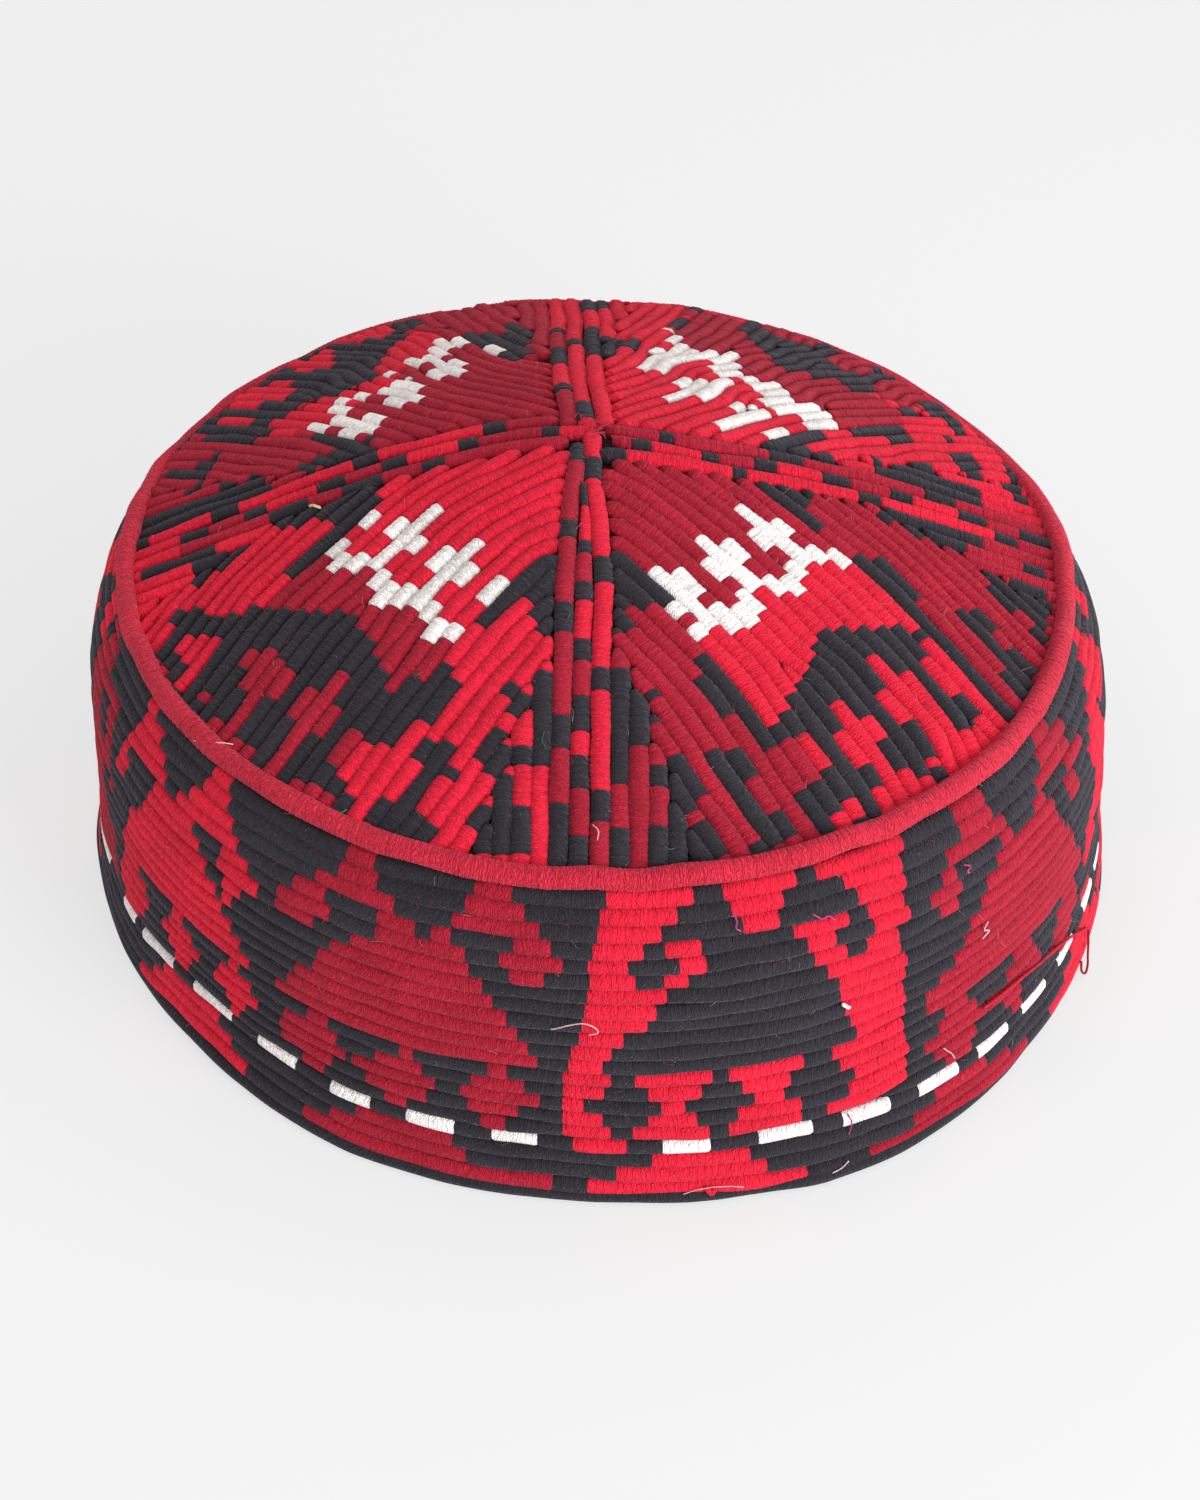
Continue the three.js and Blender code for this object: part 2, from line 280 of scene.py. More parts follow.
# %% The yarns of the cap
yarns = {
    "B": wound_yarn("scarlet_wound_wool", "#DE1E38", 0.2, "#FF8496"),
    "D": wound_yarn("crimson_wound_wool", "#A61A2F", 0.22, "#F48496"),
    "K": wound_yarn("black_wound_wool", "#2C282E", 0.3, "#9C98A6"),
    "W": wound_yarn("white_wound_wool", "#F6EFEC", 0.2, "#FFFFFF", 0.22, 0.34),
    "M": wound_yarn("magenta_lint", "#C02A74", 0.3, "#FFFFFF", 0, 0),
    "G": wound_yarn("green_lint", "#2F6B3C", 0.2, "#FFFFFF", 0, 0),
    "S": wound_yarn("straw_lint", "#DCC89C", 0.3, "#FFFFFF", 0, 0),
    "H": wound_yarn("pale_hair", "#E6C6C0", 0.2, "#FFFFFF", 0, 0),
    "F": wound_yarn("pink_fuzz", "#C8384C", 0.3, "#FF8496", 0, 0),
    "P": wound_yarn("edge_cord_wool", "#C6263C", 0.3, "#FF8C9C", 0.42, 0.4),
}
YARN_ORDER = list(yarns)
print("yarns:", {key: material.name for key, material in yarns.items()})

# %% [markdown]
# ## Laying a cord
#
# A cord is a closed tube of eight-sided rings. Modelling it by hand would be a bevelled curve, but
# a curve can't change yarn at an exact length, nor press flat against its neighbour, and there
# are hundreds of cords. So one function lays all the cords of a piece into one mesh: it walks
# each course, puts a ring at every colour change and a little pinch beside it, lets the thickness
# and the course wander slightly as hand winding does, and rounds off both ends.

# %% Cord laying
RING_SIDES = 8
RING_STEP = 1.25
PINCH = 0.86            # thickness just where one yarn ends and the next begins
PINCH_REACH = 0.4
RING_ANGLES = np.arange(RING_SIDES) * 2 * math.pi / RING_SIDES + math.pi / RING_SIDES
SHADE_SPREAD = 0.045    # how much one run of colour differs from the next
rng = np.random.default_rng(7)


def unit(vectors):
    return vectors / np.maximum(np.linalg.norm(vectors, axis=-1, keepdims=True), 1e-9)


def lengths_along(line):
    """How far along a course each of its points lies."""
    return np.concatenate([[0], np.cumsum(np.linalg.norm(np.diff(line, axis=0), axis=1))])


def smooth_noise(length, spacing, amount):
    knots = max(4, int(length / spacing) + 3)
    values = rng.normal(0, amount, knots)
    return lambda at: np.interp(at / max(length, 1e-6) * (knots - 1), np.arange(knots), values)


def even_places(total, runs, step):
    """Where a smooth cord's rings go, and how full the cord is there: less where the yarn changes."""
    changes = [edge for _, *ends in runs for edge in ends if 0.5 < edge < total - 0.5]
    stops = {0.0, total}
    for edge in changes:
        for at in (edge - PINCH_REACH, edge, edge + PINCH_REACH):
            if 0.25 < at < total - 0.25:
                stops.add(round(at, 3))
    stops = sorted(stops)
    at = []
    for first, last in zip(stops, stops[1:]):
        steps = max(1, int(round((last - first) / step)))
        at.extend(first + (last - first) * np.arange(steps) / steps)
    at = np.array([*at, total])
    at = at[np.concatenate([[True], np.diff(at) > 0.12])]
    full = np.ones(len(at))
    for edge in changes:
        full = full - np.clip(1 - np.abs(at - edge) / PINCH_REACH, 0, 1)
    return at, np.maximum(full, 0)


def lumpy_places(total, runs, lump):
    """The same for a cord whose winding stands up in lumps, a whole number of them in every run."""
    at, full = [], []
    for _, start, end in runs:
        start, end = max(start, 0.0), min(end, total)
        if end - start < 0.3:
            continue
        count = max(1, int(round((end - start) / lump)))
        dips = np.linspace(start, end, count + 1)
        dips[1:-1] += np.clip(rng.normal(0, 0.2 * lump, count - 1), -0.35 * lump, 0.35 * lump)
        depth = np.concatenate([[0], rng.uniform(0.4, 0.85, count - 1)])
        for first, last, low in zip(dips, dips[1:], depth):
            at.extend(first + (last - first) * np.array([0, 0.25, 0.62]))
            full.extend([low, 0.9 + 0.1 * low, rng.uniform(0.92, 1)])
    return np.array([*at, total]), np.array([*full, 0])


class CordBasket:
    """Collects the cords of one piece until they are made one mesh."""

    def __init__(self):
        self.points, self.full, self.faces, self.yarn, self.along, self.shade = [], [], [], [], [], []
        self.count = 0
        self.length = 0.0

    def lay(self, line, normals, half_width, half_height, runs, wander=0.1, lump=0.0, step=RING_STEP):
        """A course of points with outward normals, the half sizes at each, and (yarn, start, end) runs."""
        line = np.asarray(line, float)
        lengths = lengths_along(line)
        total = lengths[-1]
        if total < 1.0:
            return
        at, full = lumpy_places(total, runs, lump) if lump else even_places(total, runs, step)
        centre = np.stack([np.interp(at, lengths, line[:, k]) for k in range(3)], axis=1)
        outward = unit(np.stack([np.interp(at, lengths, normals[:, k]) for k in range(3)], axis=1))
        wide = np.interp(at, lengths, half_width)
        high = np.interp(at, lengths, half_height)
        ahead = unit(np.gradient(centre, axis=0))
        aside = unit(np.cross(outward, ahead))
        swell = (1 + smooth_noise(total, 5.0, 0.035)(at)) * (PINCH + (1 - PINCH) * full)
        centre = centre + aside * smooth_noise(total, 7.0, wander)(at)[:, None]
        centre = centre + outward * smooth_noise(total, 9.0, wander)(at)[:, None]
        for way, where in ((-ahead[0], 0), (ahead[-1], 1)):
            centre, outward, aside, ahead, wide, high, at, full, swell = self.rounded(
                (centre, outward, aside, ahead, wide, high, at, full, swell), way, where)
        rings = len(at)
        across = np.cos(RING_ANGLES)
        tall = np.sin(RING_ANGLES)
        body = (centre[:, None] + aside[:, None] * (wide * swell)[:, None, None] * across[None, :, None]
                + outward[:, None] * (high * swell)[:, None, None] * tall[None, :, None])
        first = self.count
        self.points.append(body.reshape(-1, 3))
        self.full.append(np.repeat(full if lump else -np.ones(rings), RING_SIDES))
        self.count += rings * RING_SIDES
        yarn_at = np.zeros(rings - 1, int)
        shade_at = np.ones(rings - 1)
        middles = (at[1:] + at[:-1]) / 2
        for yarn, start, end in runs:
            inside = (middles >= start - 1e-6) & (middles < end + 1e-6)
            yarn_at[inside] = YARN_ORDER.index(yarn)
            shade_at[inside] = 1 + rng.normal(0, SHADE_SPREAD)
        side = np.arange(RING_SIDES)
        after = (side + 1) % RING_SIDES
        for k in range(rings - 1):
            low_ring, next_ring = first + k * RING_SIDES, first + (k + 1) * RING_SIDES
            for i in range(RING_SIDES):
                near, far = side[i], after[i]
                self.faces.append((low_ring + near, low_ring + far, next_ring + far, next_ring + near))
                self.along.append(((at[k], i), (at[k], i + 1), (at[k + 1], i + 1), (at[k + 1], i)))
            self.yarn.extend([yarn_at[k]] * RING_SIDES)
            self.shade.extend([shade_at[k]] * RING_SIDES)
        last = first + (rings - 1) * RING_SIDES
        for ring, order, end in ((first, side[::-1], 0), (last, side, -1)):
            self.faces.append(tuple(ring + i for i in order))
            self.along.append(tuple((at[end], i) for i in order))
            self.yarn.append(yarn_at[end])
            self.shade.append(shade_at[end])
        self.length += total

    @staticmethod
    def rounded(parts, way, where):
        """Two smaller rings beyond an end, like the worn end of a rope."""
        source, slot = (0, 0) if where == 0 else (-1, len(parts[0]))
        extra = [(0.35, 0.85), (0.62, 0.5)] if where else [(0.62, 0.5), (0.35, 0.85)]
        ends = [part[source] for part in parts]
        grown = []
        for place, part in enumerate(parts):
            if place == 0:
                new = [ends[0] + way * ends[4] * reach for reach, _ in extra]
            elif place in (4, 5):
                new = [ends[place] * share for _, share in extra]
            else:
                new = [ends[place]] * 2
            grown.append(np.insert(part, slot, np.array(new), axis=0))
        return grown

    def make(self, name, nodes):
        points = oval(np.concatenate(self.points)) * MM
        points[:, 2] = np.maximum(points[:, 2], 0)
        mesh = bpy.data.meshes.new(name)
        mesh.from_pydata(points.tolist(), [], [tuple(int(v) for v in face) for face in self.faces])
        for key in YARN_ORDER:
            mesh.materials.append(yarns[key])
        mesh.polygons.foreach_set("material_index", np.array(self.yarn, np.int32))
        mesh.polygons.foreach_set("use_smooth", np.ones(len(mesh.polygons), bool))
        layer = mesh.uv_layers.new(name="along")
        corners = [value for face in self.along for pair in face for value in pair]
        layer.data.foreach_set("uv", np.array(corners, np.float32))
        lump = mesh.attributes.new("lump", "FLOAT", "POINT")
        lump.data.foreach_set("value", np.concatenate(self.full).astype(np.float32))
        shade = mesh.attributes.new("shade", "FLOAT", "FACE")
        shade.data.foreach_set("value", np.array(self.shade, np.float32))
        mesh.validate()
        mesh.update()
        piece = bpy.data.objects.new(name, mesh)
        bpy.context.scene.collection.objects.link(piece)
        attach(piece, "root")
        if nodes:
            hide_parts(*nodes)
        triangles = sum(len(face) - 2 for face in self.faces)
        print(f"{name}: {self.length / 1000:.2f} m of cord, {triangles} triangles")
        return piece


# %% [markdown]
# ## The band
#
# Twenty-one cords lie one above the other from the edge cord down to the rim. The pattern is a
# traditional one of little trees and framed columns above a line of white dashes. It is charted
# here row by row, from the top row down, as lengths of colour between two directions in degrees,
# and what isn't listed is black. A line that starts with spaces goes on with the row above it. The
# chart holds the trees of the front and both sides, and is repeated to go all the way. It was read
# off, and shifts of up to 1 degree, measured by a program, were then added to its figures.

# %% Chart of the band
BAND_CHART = """
D191.2-194.2 B206.8-208.9 B221-224.1 D240.7-244.1 D255.3-259.4 B269.3-278.5 B281.7-289.9 B292.2-303.2
  D310.6-315.4 D326.5-330.2 B345.3-348
D192.1-195.6 B207-211.5 B220.5-224.8 D240.2-244.8 D254.6-260.8 B268.6-276.6 B282.3-288 B295-302.2
  D310.6-315.7 D325.8-333.1 B343.6-349
D190.1-196.1 B206.6-213.4 B219-226.1 D237.6-247 D253.3-262.4 B268.3-274.8 B283.3-287.2 B296.1-302.2
  D307.9-317.2 D323.8-332.4 B341.5-351
D190-201.5 B205.6-214.5 B217-227.3 D235.2-239.2 D245.3-249.5 D251.2-253.3 D259.8-263.6 B267.8-272.9
  B275.1-278.8 B288.6-294.8 B297.1-301.5 D306.7-308.6 D315.8-317.9 D322.4-324.8 D330.2-335.4 B339.4-351
D190-195.5 D198.5-201.2 B205-206.3 B212.6-220.5 B225.1-229 D233.4-240 D245.2-254.9 D258.4-264.8
  B267.3-271.3 B276.5-279.2 B289.9-293 B297.6-301.9 D304.6-309.2 D314.7-326.4 D329.3-331.9 B338.3-343.6
D190-195.8 D198.8-201 B203.9-206.6 B211.9-221.6 B224.6-230.8 D233.2-238 D242.5-255.3 D259.4-262.9
  B267.5-272 B274.9-277.3 B290.6-294.2 B296.5-300.3 D305.9-308.5 D312.7-326.7 D329.9-332.8 B337.2-344.4
D190-196.5 D199-201 B203.2-205.8 B210.9-223 B225.6-228.3 D240.1-256.7 B267.2-275.1 B291.9-300.5
  D311.7-327.8 B338-345.6
D190-200.8 B209.4-224.7 B225.6-227 D238.6-257.7 B266.9-274 B293.1-301.2 D309.9-329.3 B339.4-351
D190-200.5 B207.3-225.4 D238-259.1 B266.6-273.1 B293.3-301.1 D309.1-330.7
D190-197.5 D199.8-201.5 B206.6-226.7 D235.6-260.1 B266.3-270.7 B293.8-300.8 D307.7-331.3
D190-197 B205.4-227.9 D234.6-261.2 B265.5-269.5 B294.5-301.2 D305.7-332.1
D190-197.5 B204.2-229.2 D232.8-262.1 B265.2-268.6 B295.2-301.2 D304-333.7
D190-198.5 B204.2-208.4 B216.2-218.3 B226-227.4 D236.8-239.4 D247.7-249.2 D257-259 B264.6-269.4
  B271.8-279.6 B281.3-289.2 B292.4-301 D304-334.5
D190-199.5 B203.4-210.1 B215.2-219.6 B224.4-229.1 D233.8-240.4 D244.9-250 D255.2-260.7 B264.6-268.7
  B273.1-278.5 B282.7-287.8 B293.3-301.2 D306.5-309.8 D317.9-321.4 D328.7-332.4
D190-200 B202.5-210.4 B213.7-220.9 B223.6-230.1 D233.2-241.4 D242.1-251.4 D254.1-262.2 B264.5-266.6
  B274.4-276.8 B284-287.1 B295-301.6 D305.6-311.3 D316.4-322.3 D327.5-333.7
D190-200.5 B202.2-209.2 B214.9-219.4 B225.3-228.3 D233.4-239.8 D243.8-250.5 D254.8-260 B264.5-268.5
  B273.1-278 B282.2-288.9 B294.2-301.2 D303.7-313 D313.3-323.5 D326.7-333.7
D190-200.5 B203.4-207.3 B216-218.6 B226-227.4 D236-238.8 D245.9-248.3 D256.1-258.7 B264.5-269.3
  B271.5-279.2 B281.2-288.9 B291.7-301.2 D305-311.2 D316.1-319.4 D326.1-332.1
W190.2-196.2 W202.5-206.3 W208.4-215.7 W219.6-226 W230-235.2 W239.6-244.3 W248.3-253.4 W257.3-261.9
  B265.5-270.9 W274.5-279.3 W284.3-290 W293.3-298.9 W302.6-308.2 W311.3-316.6 W319.5-324.7 W327.8-332.4
  W336.5-341.2 W342.9-347
B213.7-223.9 D242.7-253.2 B273.4-283.3 D304.7-312.4 B331.6-338.8
B211.3-225.9 D239.6-254.6 B269.8-285 D301.7-316.6 B329.3-342.6
B208-228.3 D236.4-263.4 B266.9-289.1 D296.1-320.2 B325.2-345
"""
CHART_FROM = 190.0
SEAM = 92.0             # every row begins and ends here, at the back
REPEAT_FROM = 203.0
REPEAT_SPAN = 132.0
INSET_ROW = "D306.6-310.4 D317.4-319.3 D328.6-331.1"



def chart_lines(text):
    return text.strip().replace("\n  ", " ").split("\n")


def chart_runs(text):
    """Words such as K12-17 as (yarn, start, end)."""
    return [(word[0], *map(float, word[1:].split("-"))) for word in text.split()]


def round_the_cap(row):
    """The charted stretch, then its figures twice more, and the ground colour between them."""
    laid = list(row)
    for turn in (1, 2):
        for yarn, start, end in row:
            start, end = start + turn * REPEAT_SPAN, end + turn * REPEAT_SPAN
            first_of_turn = REPEAT_FROM + turn * REPEAT_SPAN
            if first_of_turn <= start < first_of_turn + REPEAT_SPAN and start > laid[-1][2] + 0.5:
                laid.append((yarn, start, min(end, CHART_FROM + 360)))
    full, at = [], CHART_FROM
    for yarn, start, end in laid:
        if start >= CHART_FROM + 359:
            break
        if start > at:
            full.append(("K", at, start))
        full.append((yarn, start, end))
        at = end
    full.append(("K", at, CHART_FROM + 361))
    before = [(yarn, start - 360, end - 360) for yarn, start, end in full if end > SEAM + 360]
    return before + [run for run in full if run[1] < SEAM + 360]


band_chart = [round_the_cap(chart_runs(line)) for line in chart_lines(BAND_CHART)]
print("band rows charted:", len(band_chart), "runs:", sum(len(row) for row in band_chart))

# %% [markdown]
# Hand-laid rows aren't level. The table tells how far some of the edges between rows lie below
# even spacing, in rows, at a few directions round the cap. Right of the front an extra cord is let
# in between the 17th and the 18th row, so the edge under the 17th row is listed twice, above that
# cord and below it. At the back the crown's edge turns down, and the first rows give way to it.

# %% Where the rows lie
INSET_UNDER = 17        # an extra cord lies under this row
INSET_FROM = 298.5
INSET_TO = 347.0
# The shifts were read off, and a program then added the ones that it had measured.
ROW_AZIMUTHS = [165, 190, 203, 209, 216, 223, 233, 241, 250, 262, 277, 287, 296, 302, 313, 322, 332,
          345, 352]
ROW_SHIFTS = {
    0: [0.15, 0.15, 0.04, 0.05, 0.05, 0.06, 0.11, 0.16, 0.13, 0.04, 0.05, 0.03, 0.06, 0.15, 0.24, 0.22,
          0.19, 0.2, 0.3],
    2.5: [0.15, 0.15, 0.11, 0.12, 0.12, 0.14, 0.27, 0.4, 0.33, 0.09, 0.12, 0.09, 0.15, 0.37, 0.59, 0.56,
          0.48, 0.43, 0.3],
    5: [0.15, 0.15, 0.02, 0.06, 0.09, 0.17, 0.28, 0.39, 0.36, 0.11, 0.11, 0.16, 0.3, 0.45, 0.61, 0.59, 0.54,
          0.48, 0.3],
    8: [0.15, 0.15, 0.16, 0.26, 0.36, 0.37, 0.38, 0.41, 0.37, 0.19, 0.19, 0.31, 0.46, 0.58, 0.73, 0.76,
          0.74, 0.56, 0.3],
    12: [0.15, 0.45, 0.45, 0.42, 0.36, 0.25, 0.61, 0.64, 0.61, 0.3, 0.47, 0.57, 0.62, 0.45, 0.29, 0.23,
          0.28, 0.48, 0.3],
    14: [0.15, 0.73, 0.69, 0.66, 0.28, 0.23, 0.5, 0.67, 0.59, 0.36, 0.56, 0.68, 0.73, 0.32, 0.26, 0.26,
          0.33, 0.48, 0.3],
    17: [0.15, 1.15, 0.78, 0.77, -0.09, -0.1, 0.07, 0.44, 0.4, 0.35, 0.53, 0.59, 0.68, 0.16, 0.25, 0.32,
          0.38, 0.48, 0.3],
}
ROW_SHIFTS_BELOW = {
    17: [0.15, 1.15, 0.78, 0.77, -0.09, -0.1, 0.07, 0.44, 0.4, 0.35, 0.53, 0.59, 0.7, 1.01, 1.25, 1.22,
          1.08, 0.57, 0.3],
    19: [0.15, 0.95, 0.69, 0.59, -0.16, -0.18, 0.06, 0.32, 0.31, 0.25, 0.52, 0.56, 0.71, 0.94, 1.1, 0.99,
          0.79, 0.41, 0.3],
    21: [0.15, 0.75, 0.74, 0.64, 0.07, 0.06, 0.28, 0.38, 0.42, 0.36, 0.67, 0.73, 0.8, 0.8, 0.8, 0.8, 0.73,
          0.48, 0.3],
}
EDGE_DROP = 2.6         # how much lower the edge cord lies at the back, in millimetres
DROP_AZIMUTHS = [4, 34, 150, 176]
DROP_ROWS = 7           # how many of the first rows give way to that


def edge_drop(azimuth):
    degrees = np.degrees(azimuth) % 360
    share = np.interp(degrees, DROP_AZIMUTHS, [0, 1, 1, 0])
    return EDGE_DROP * share * share * (3 - 2 * share)


def row_edge(edge, azimuth, below=False):
    """How far down the band the edge under a row lies, in rows."""
    table = ROW_SHIFTS_BELOW if below or edge > INSET_UNDER else ROW_SHIFTS
    degrees = np.degrees(azimuth) % 360
    shifts = [np.interp(degrees, ROW_AZIMUTHS, values, period=360) for values in table.values()]
    levels = list(table)
    shift = np.array([np.interp(edge, levels, column) for column in np.array(shifts).T])
    return edge + shift + edge_drop(azimuth) / row_pitch * max(0, 1 - edge / DROP_ROWS)


print("the edge cord drops at the back by, mm:", float(edge_drop(math.radians(SEAM))))

# %% The band's own form
profile_heights = np.linspace(0.3, BAND_HEIGHT, 400)
profile_radii = band_radius(profile_heights)
profile_arc = np.concatenate([[0], np.cumsum(np.hypot(np.diff(profile_heights), np.diff(profile_radii)))])
profile_arc = profile_arc - np.interp(RIM_CORD_HEIGHT + 0.3, profile_heights, profile_arc)
band_run = profile_arc[-1] - EDGE_CORD / 2
row_pitch = band_run / BAND_ROWS
RIM_AZIMUTHS = [200, 222, 232, 242, 252, 262, 272, 282, 291, 300, 310, 320, 332, 345, 360]
RIM_OUT = [-0.2, -0.4, 0.4, 1.0, 0.7, 0.25, 0.25, 0.8, 1.9, 1.6, 0.8, -0.3, -0.6, -0.3, 0]


def rim_swell(azimuth, height):
    """How much the rim stands out at some directions: the foot of the band isn't a true ring."""
    degrees = np.degrees(azimuth) % 360
    out = np.interp(degrees, RIM_AZIMUTHS, RIM_OUT, period=360)
    return out * np.clip(1 - np.asarray(height) / 30, 0, 1) ** 1.3


def band_line(azimuth, down, half_height):
    """The middle of a cord that lies so many rows down the band, and the normals there."""
    arc = band_run - down * row_pitch
    radii, heights = (np.interp(arc, profile_arc, values) for values in (profile_radii, profile_heights))
    slope_r, slope_z = (np.interp(arc + 0.5, profile_arc, values) - np.interp(arc - 0.5, profile_arc, values)
                        for values in (profile_radii, profile_heights))
    radii = radii + rim_swell(azimuth, heights)
    normal = unit(np.stack([slope_z * np.cos(azimuth), slope_z * np.sin(azimuth), -slope_r], axis=1))
    surface = np.stack([radii * np.cos(azimuth), radii * np.sin(azimuth), heights], axis=1)
    return surface - normal * half_height, normal


print("band from the rim cord to the edge cord, mm:", round(band_run, 1), "a row:", round(row_pitch, 2))

# %% Lay the band
SQUEEZE = 1.17          # neighbouring cords press into each other, so each is drawn this much wider
BAND_HALF_HEIGHT = 1.3


def lay_row(basket, azimuth, upper, lower, runs):
    line, normal = band_line(azimuth, (upper + lower) / 2, BAND_HALF_HEIGHT)
    lengths = lengths_along(line)
    degrees = np.degrees(azimuth)
    cut = [(yarn, float(np.interp(start, degrees, lengths)), float(np.interp(end, degrees, lengths)))
           for yarn, start, end in runs]
    half_width = np.maximum((lower - upper) / 2 * row_pitch, 0.3) * SQUEEZE
    basket.lay(line, normal, half_width, np.minimum(half_width, BAND_HALF_HEIGHT), cut, 0.14)


band = CordBasket()
once_round = np.radians(np.linspace(SEAM, SEAM + 360, 361))
for row, runs in enumerate(band_chart):
    upper = row_edge(row, once_round, below=row == INSET_UNDER)
    lay_row(band, once_round, upper, row_edge(row + 1, once_round), runs)
inset = np.radians(np.linspace(INSET_FROM, INSET_TO, 60))
inset_runs, at = [], INSET_FROM - 0.5
for yarn, start, end in chart_runs(INSET_ROW):
    inset_runs += [("K", at, start), (yarn, start, end)]
    at = end
inset_runs.append(("K", at, INSET_TO + 1))
lay_row(band, inset, row_edge(INSET_UNDER, inset), row_edge(INSET_UNDER, inset, below=True), inset_runs)
band.make("band_cords", ["side_band"])

# %% [markdown]
# ## The crown's ribs
#
# Four ribs of three cords cross the crown and part it into quarters. They don't run quite
# straight or meet in one point, so each rib has a short table of how far it lies to the left of
# its direction, seen from the middle, and how far apart its cords are. Their chequers are charted
# from the middle outwards, in millimetres, one line for each cord from the left to the right.

# %% Ribs and their charts
RIB_AZIMUTHS = {"right": 0.5, "back": 92.0, "left": 182.5, "front": 266.0}
RIB_STATIONS = [0, 12, 20, 33, 50, 60, 82]
RIB_ASIDE = {
    "right": [-1.6, -1.5, -1.4, -0.1, 1.3, 1.2, 1.0],
    "back": [0, 0.4, 0.3, 0, -0.6, -1.6, -1.8],
    "left": [-1.5, -3.0, -3.6, -3.6, -2.3, -1.2, -0.8],
    "front": [-0.6, -0.7, -0.2, 0, 0.1, 0.3, 0.5],
}
RIB_SPREAD = {"right": 1.04, "back": 1.0, "left": 1.1, "front": 1.0}
FRONT_CLOSES = [0.38, 0.5, 0.82, 1, 1, 1, 1]    # the front rib's outer cords come together at the middle
RIB_CHARTS = {
    "front": ["B0-6 K6-11 B11-27 K27-32 B32-47.5 K47.5-51.5 B51.5-68 K68-73 D73-81",
              "K12.5-17 B17-24 K24-26.5 D26.5-32 K32-35.5 B35.5-42.5 K42.5-46.5 D46.5-52.5 K52.5-58.5 "
              "B58.5-62.5 K62.5-68 D68-75.5 K75.5-81",
              "K3-7 D7-20 K20-23.5 D23.5-36 K36-41.5 D41.5-56 K56-61.5 D61.5-70.5 K70.5-81"],
    "left": ["D5-25 K25-29 D29-36 K36-43 D43-49 K49-56 D56-72 B72-81",
             "B0-5 K5-8 D8-19 K19-22.5 B22.5-31.5 K31.5-36 D36-42.5 K42.5-47.5 B47.5-56.5 K56.5-60.5 "
             "D60.5-67 K67-72 B72-81",
             "D6-14 K14-18 B18-36.5 K36.5-41 B41-61.5 K61.5-66.5 B66.5-78 K78-81"],
    "right": ["D4-12 K12-14.5 D14.5-31 K31-37 D37-58.5 K58.5-64 D64-81",
              "D5-7 K7-10.5 B10.5-19 K19-22 D22-28 K28-32 B32-40 K40-45 D45-52 K52-56 B56-64 "
              "K64-69 D69-75 K75-81",
              "K2.5-6 B6-24 K24-26.5 B26.5-46 K46-50 B50-70 K70-74 D74-81"],
    "back": ["D3.6-16.6 K16.6-19.6 B19.6-31.1 K31.1-40.6 D40.6-50.6 K50.6-53.6 B53.6-81.6",
             "B2.6-4.6 K4.6-11.6 B11.6-41.6 K41.6-45.6 B45.6-81.6",
             "B3.6-35.6 K35.6-54.6 B54.6-67.6 K67.6-78.6 B78.6-81.6"],
}


def rib_place(name, along, across):
    """Plan points beside a rib: so far out from the middle, and so many cords to its left."""
    turn = math.radians(RIB_AZIMUTHS[name])
    apart = across * rib_pitch(name, along) * closing(name, along)
    aside = np.interp(along, RIB_STATIONS, RIB_ASIDE[name]) + apart
    return np.stack([along * math.cos(turn) - aside * math.sin(turn),
                     along * math.sin(turn) + aside * math.cos(turn)], axis=-1)


def closing(name, along):
    """How close a rib's outer cords come to its middle line, as a share of their usual place."""
    return np.interp(along, RIB_STATIONS, FRONT_CLOSES if name == "front" else [1] * 7)


def rib_pitch(name, along):
    return RIB_PITCH * np.interp(along, [0, 40, 60], [RIB_SPREAD[name], RIB_SPREAD[name], 1.0])


print("ribs:", {name: len(charts) for name, charts in RIB_CHARTS.items()})

# %% Lay the ribs
TURN_DOWN_FROM = 79.3   # where the crown starts to turn down towards its edge at the back
TURN_DOWN = 0.25
CROWN_LUMP = 1.2        # how far apart the lumps of the crown's cords are
RIB_SQUEEZE = 1.08


def crown_height(radius, azimuth):
    turned = edge_drop(azimuth) / EDGE_DROP * TURN_DOWN * np.maximum(radius - TURN_DOWN_FROM, 0) ** 2
    return dome_height(radius) - turned


def dome_course(plan):
    """A plan course lifted to the dome, with the outward normals there."""
    radius = np.maximum(np.hypot(plan[:, 0], plan[:, 1]), 0.01)
    azimuth = np.arctan2(plan[:, 1], plan[:, 0])
    inner = np.maximum(radius - 0.4, 0)
    fall = (crown_height(radius + 0.4, azimuth) - crown_height(inner, azimuth)) / (radius + 0.4 - inner)
    leaning = [-fall * plan[:, 0] / radius, -fall * plan[:, 1] / radius, np.ones(len(plan))]
    normal = unit(np.stack(leaning, axis=1))
    return np.column_stack([plan, crown_height(radius, azimuth)]), normal


def lay_on_dome(basket, plan, half_width, runs_at, wander=0.14, lift=0.0):
    """Lays a cord along a plan course; runs_at gives (yarn, start, end) for the laid lengths."""
    surface, normal = dome_course(plan)
    half_height = np.minimum(half_width, 1.6) * 0.82
    line = surface - normal * (half_height - lift)[:, None]
    lengths = lengths_along(line)
    basket.lay(line, normal, half_width, half_height, runs_at(lengths), wander, CROWN_LUMP)


def rib_cord(basket, name, across, text):
    """One cord of a rib, with its own line of the chart."""
    charted = chart_runs(text)
    along = np.arange(charted[0][1], CROWN_EDGE, 1.0)
    half = rib_pitch(name, along) / 2 * RIB_SQUEEZE
    if across == 0:
        half = half * np.clip(2 * closing(name, along) - 1, 0.4, 1)

    def runs_at(lengths):
        return [(yarn, float(np.interp(start, along, lengths)), float(np.interp(end, along, lengths)))
                for yarn, start, end in charted]

    lay_on_dome(basket, rib_place(name, along, across), half, runs_at, wander=0.12, lift=0.15)


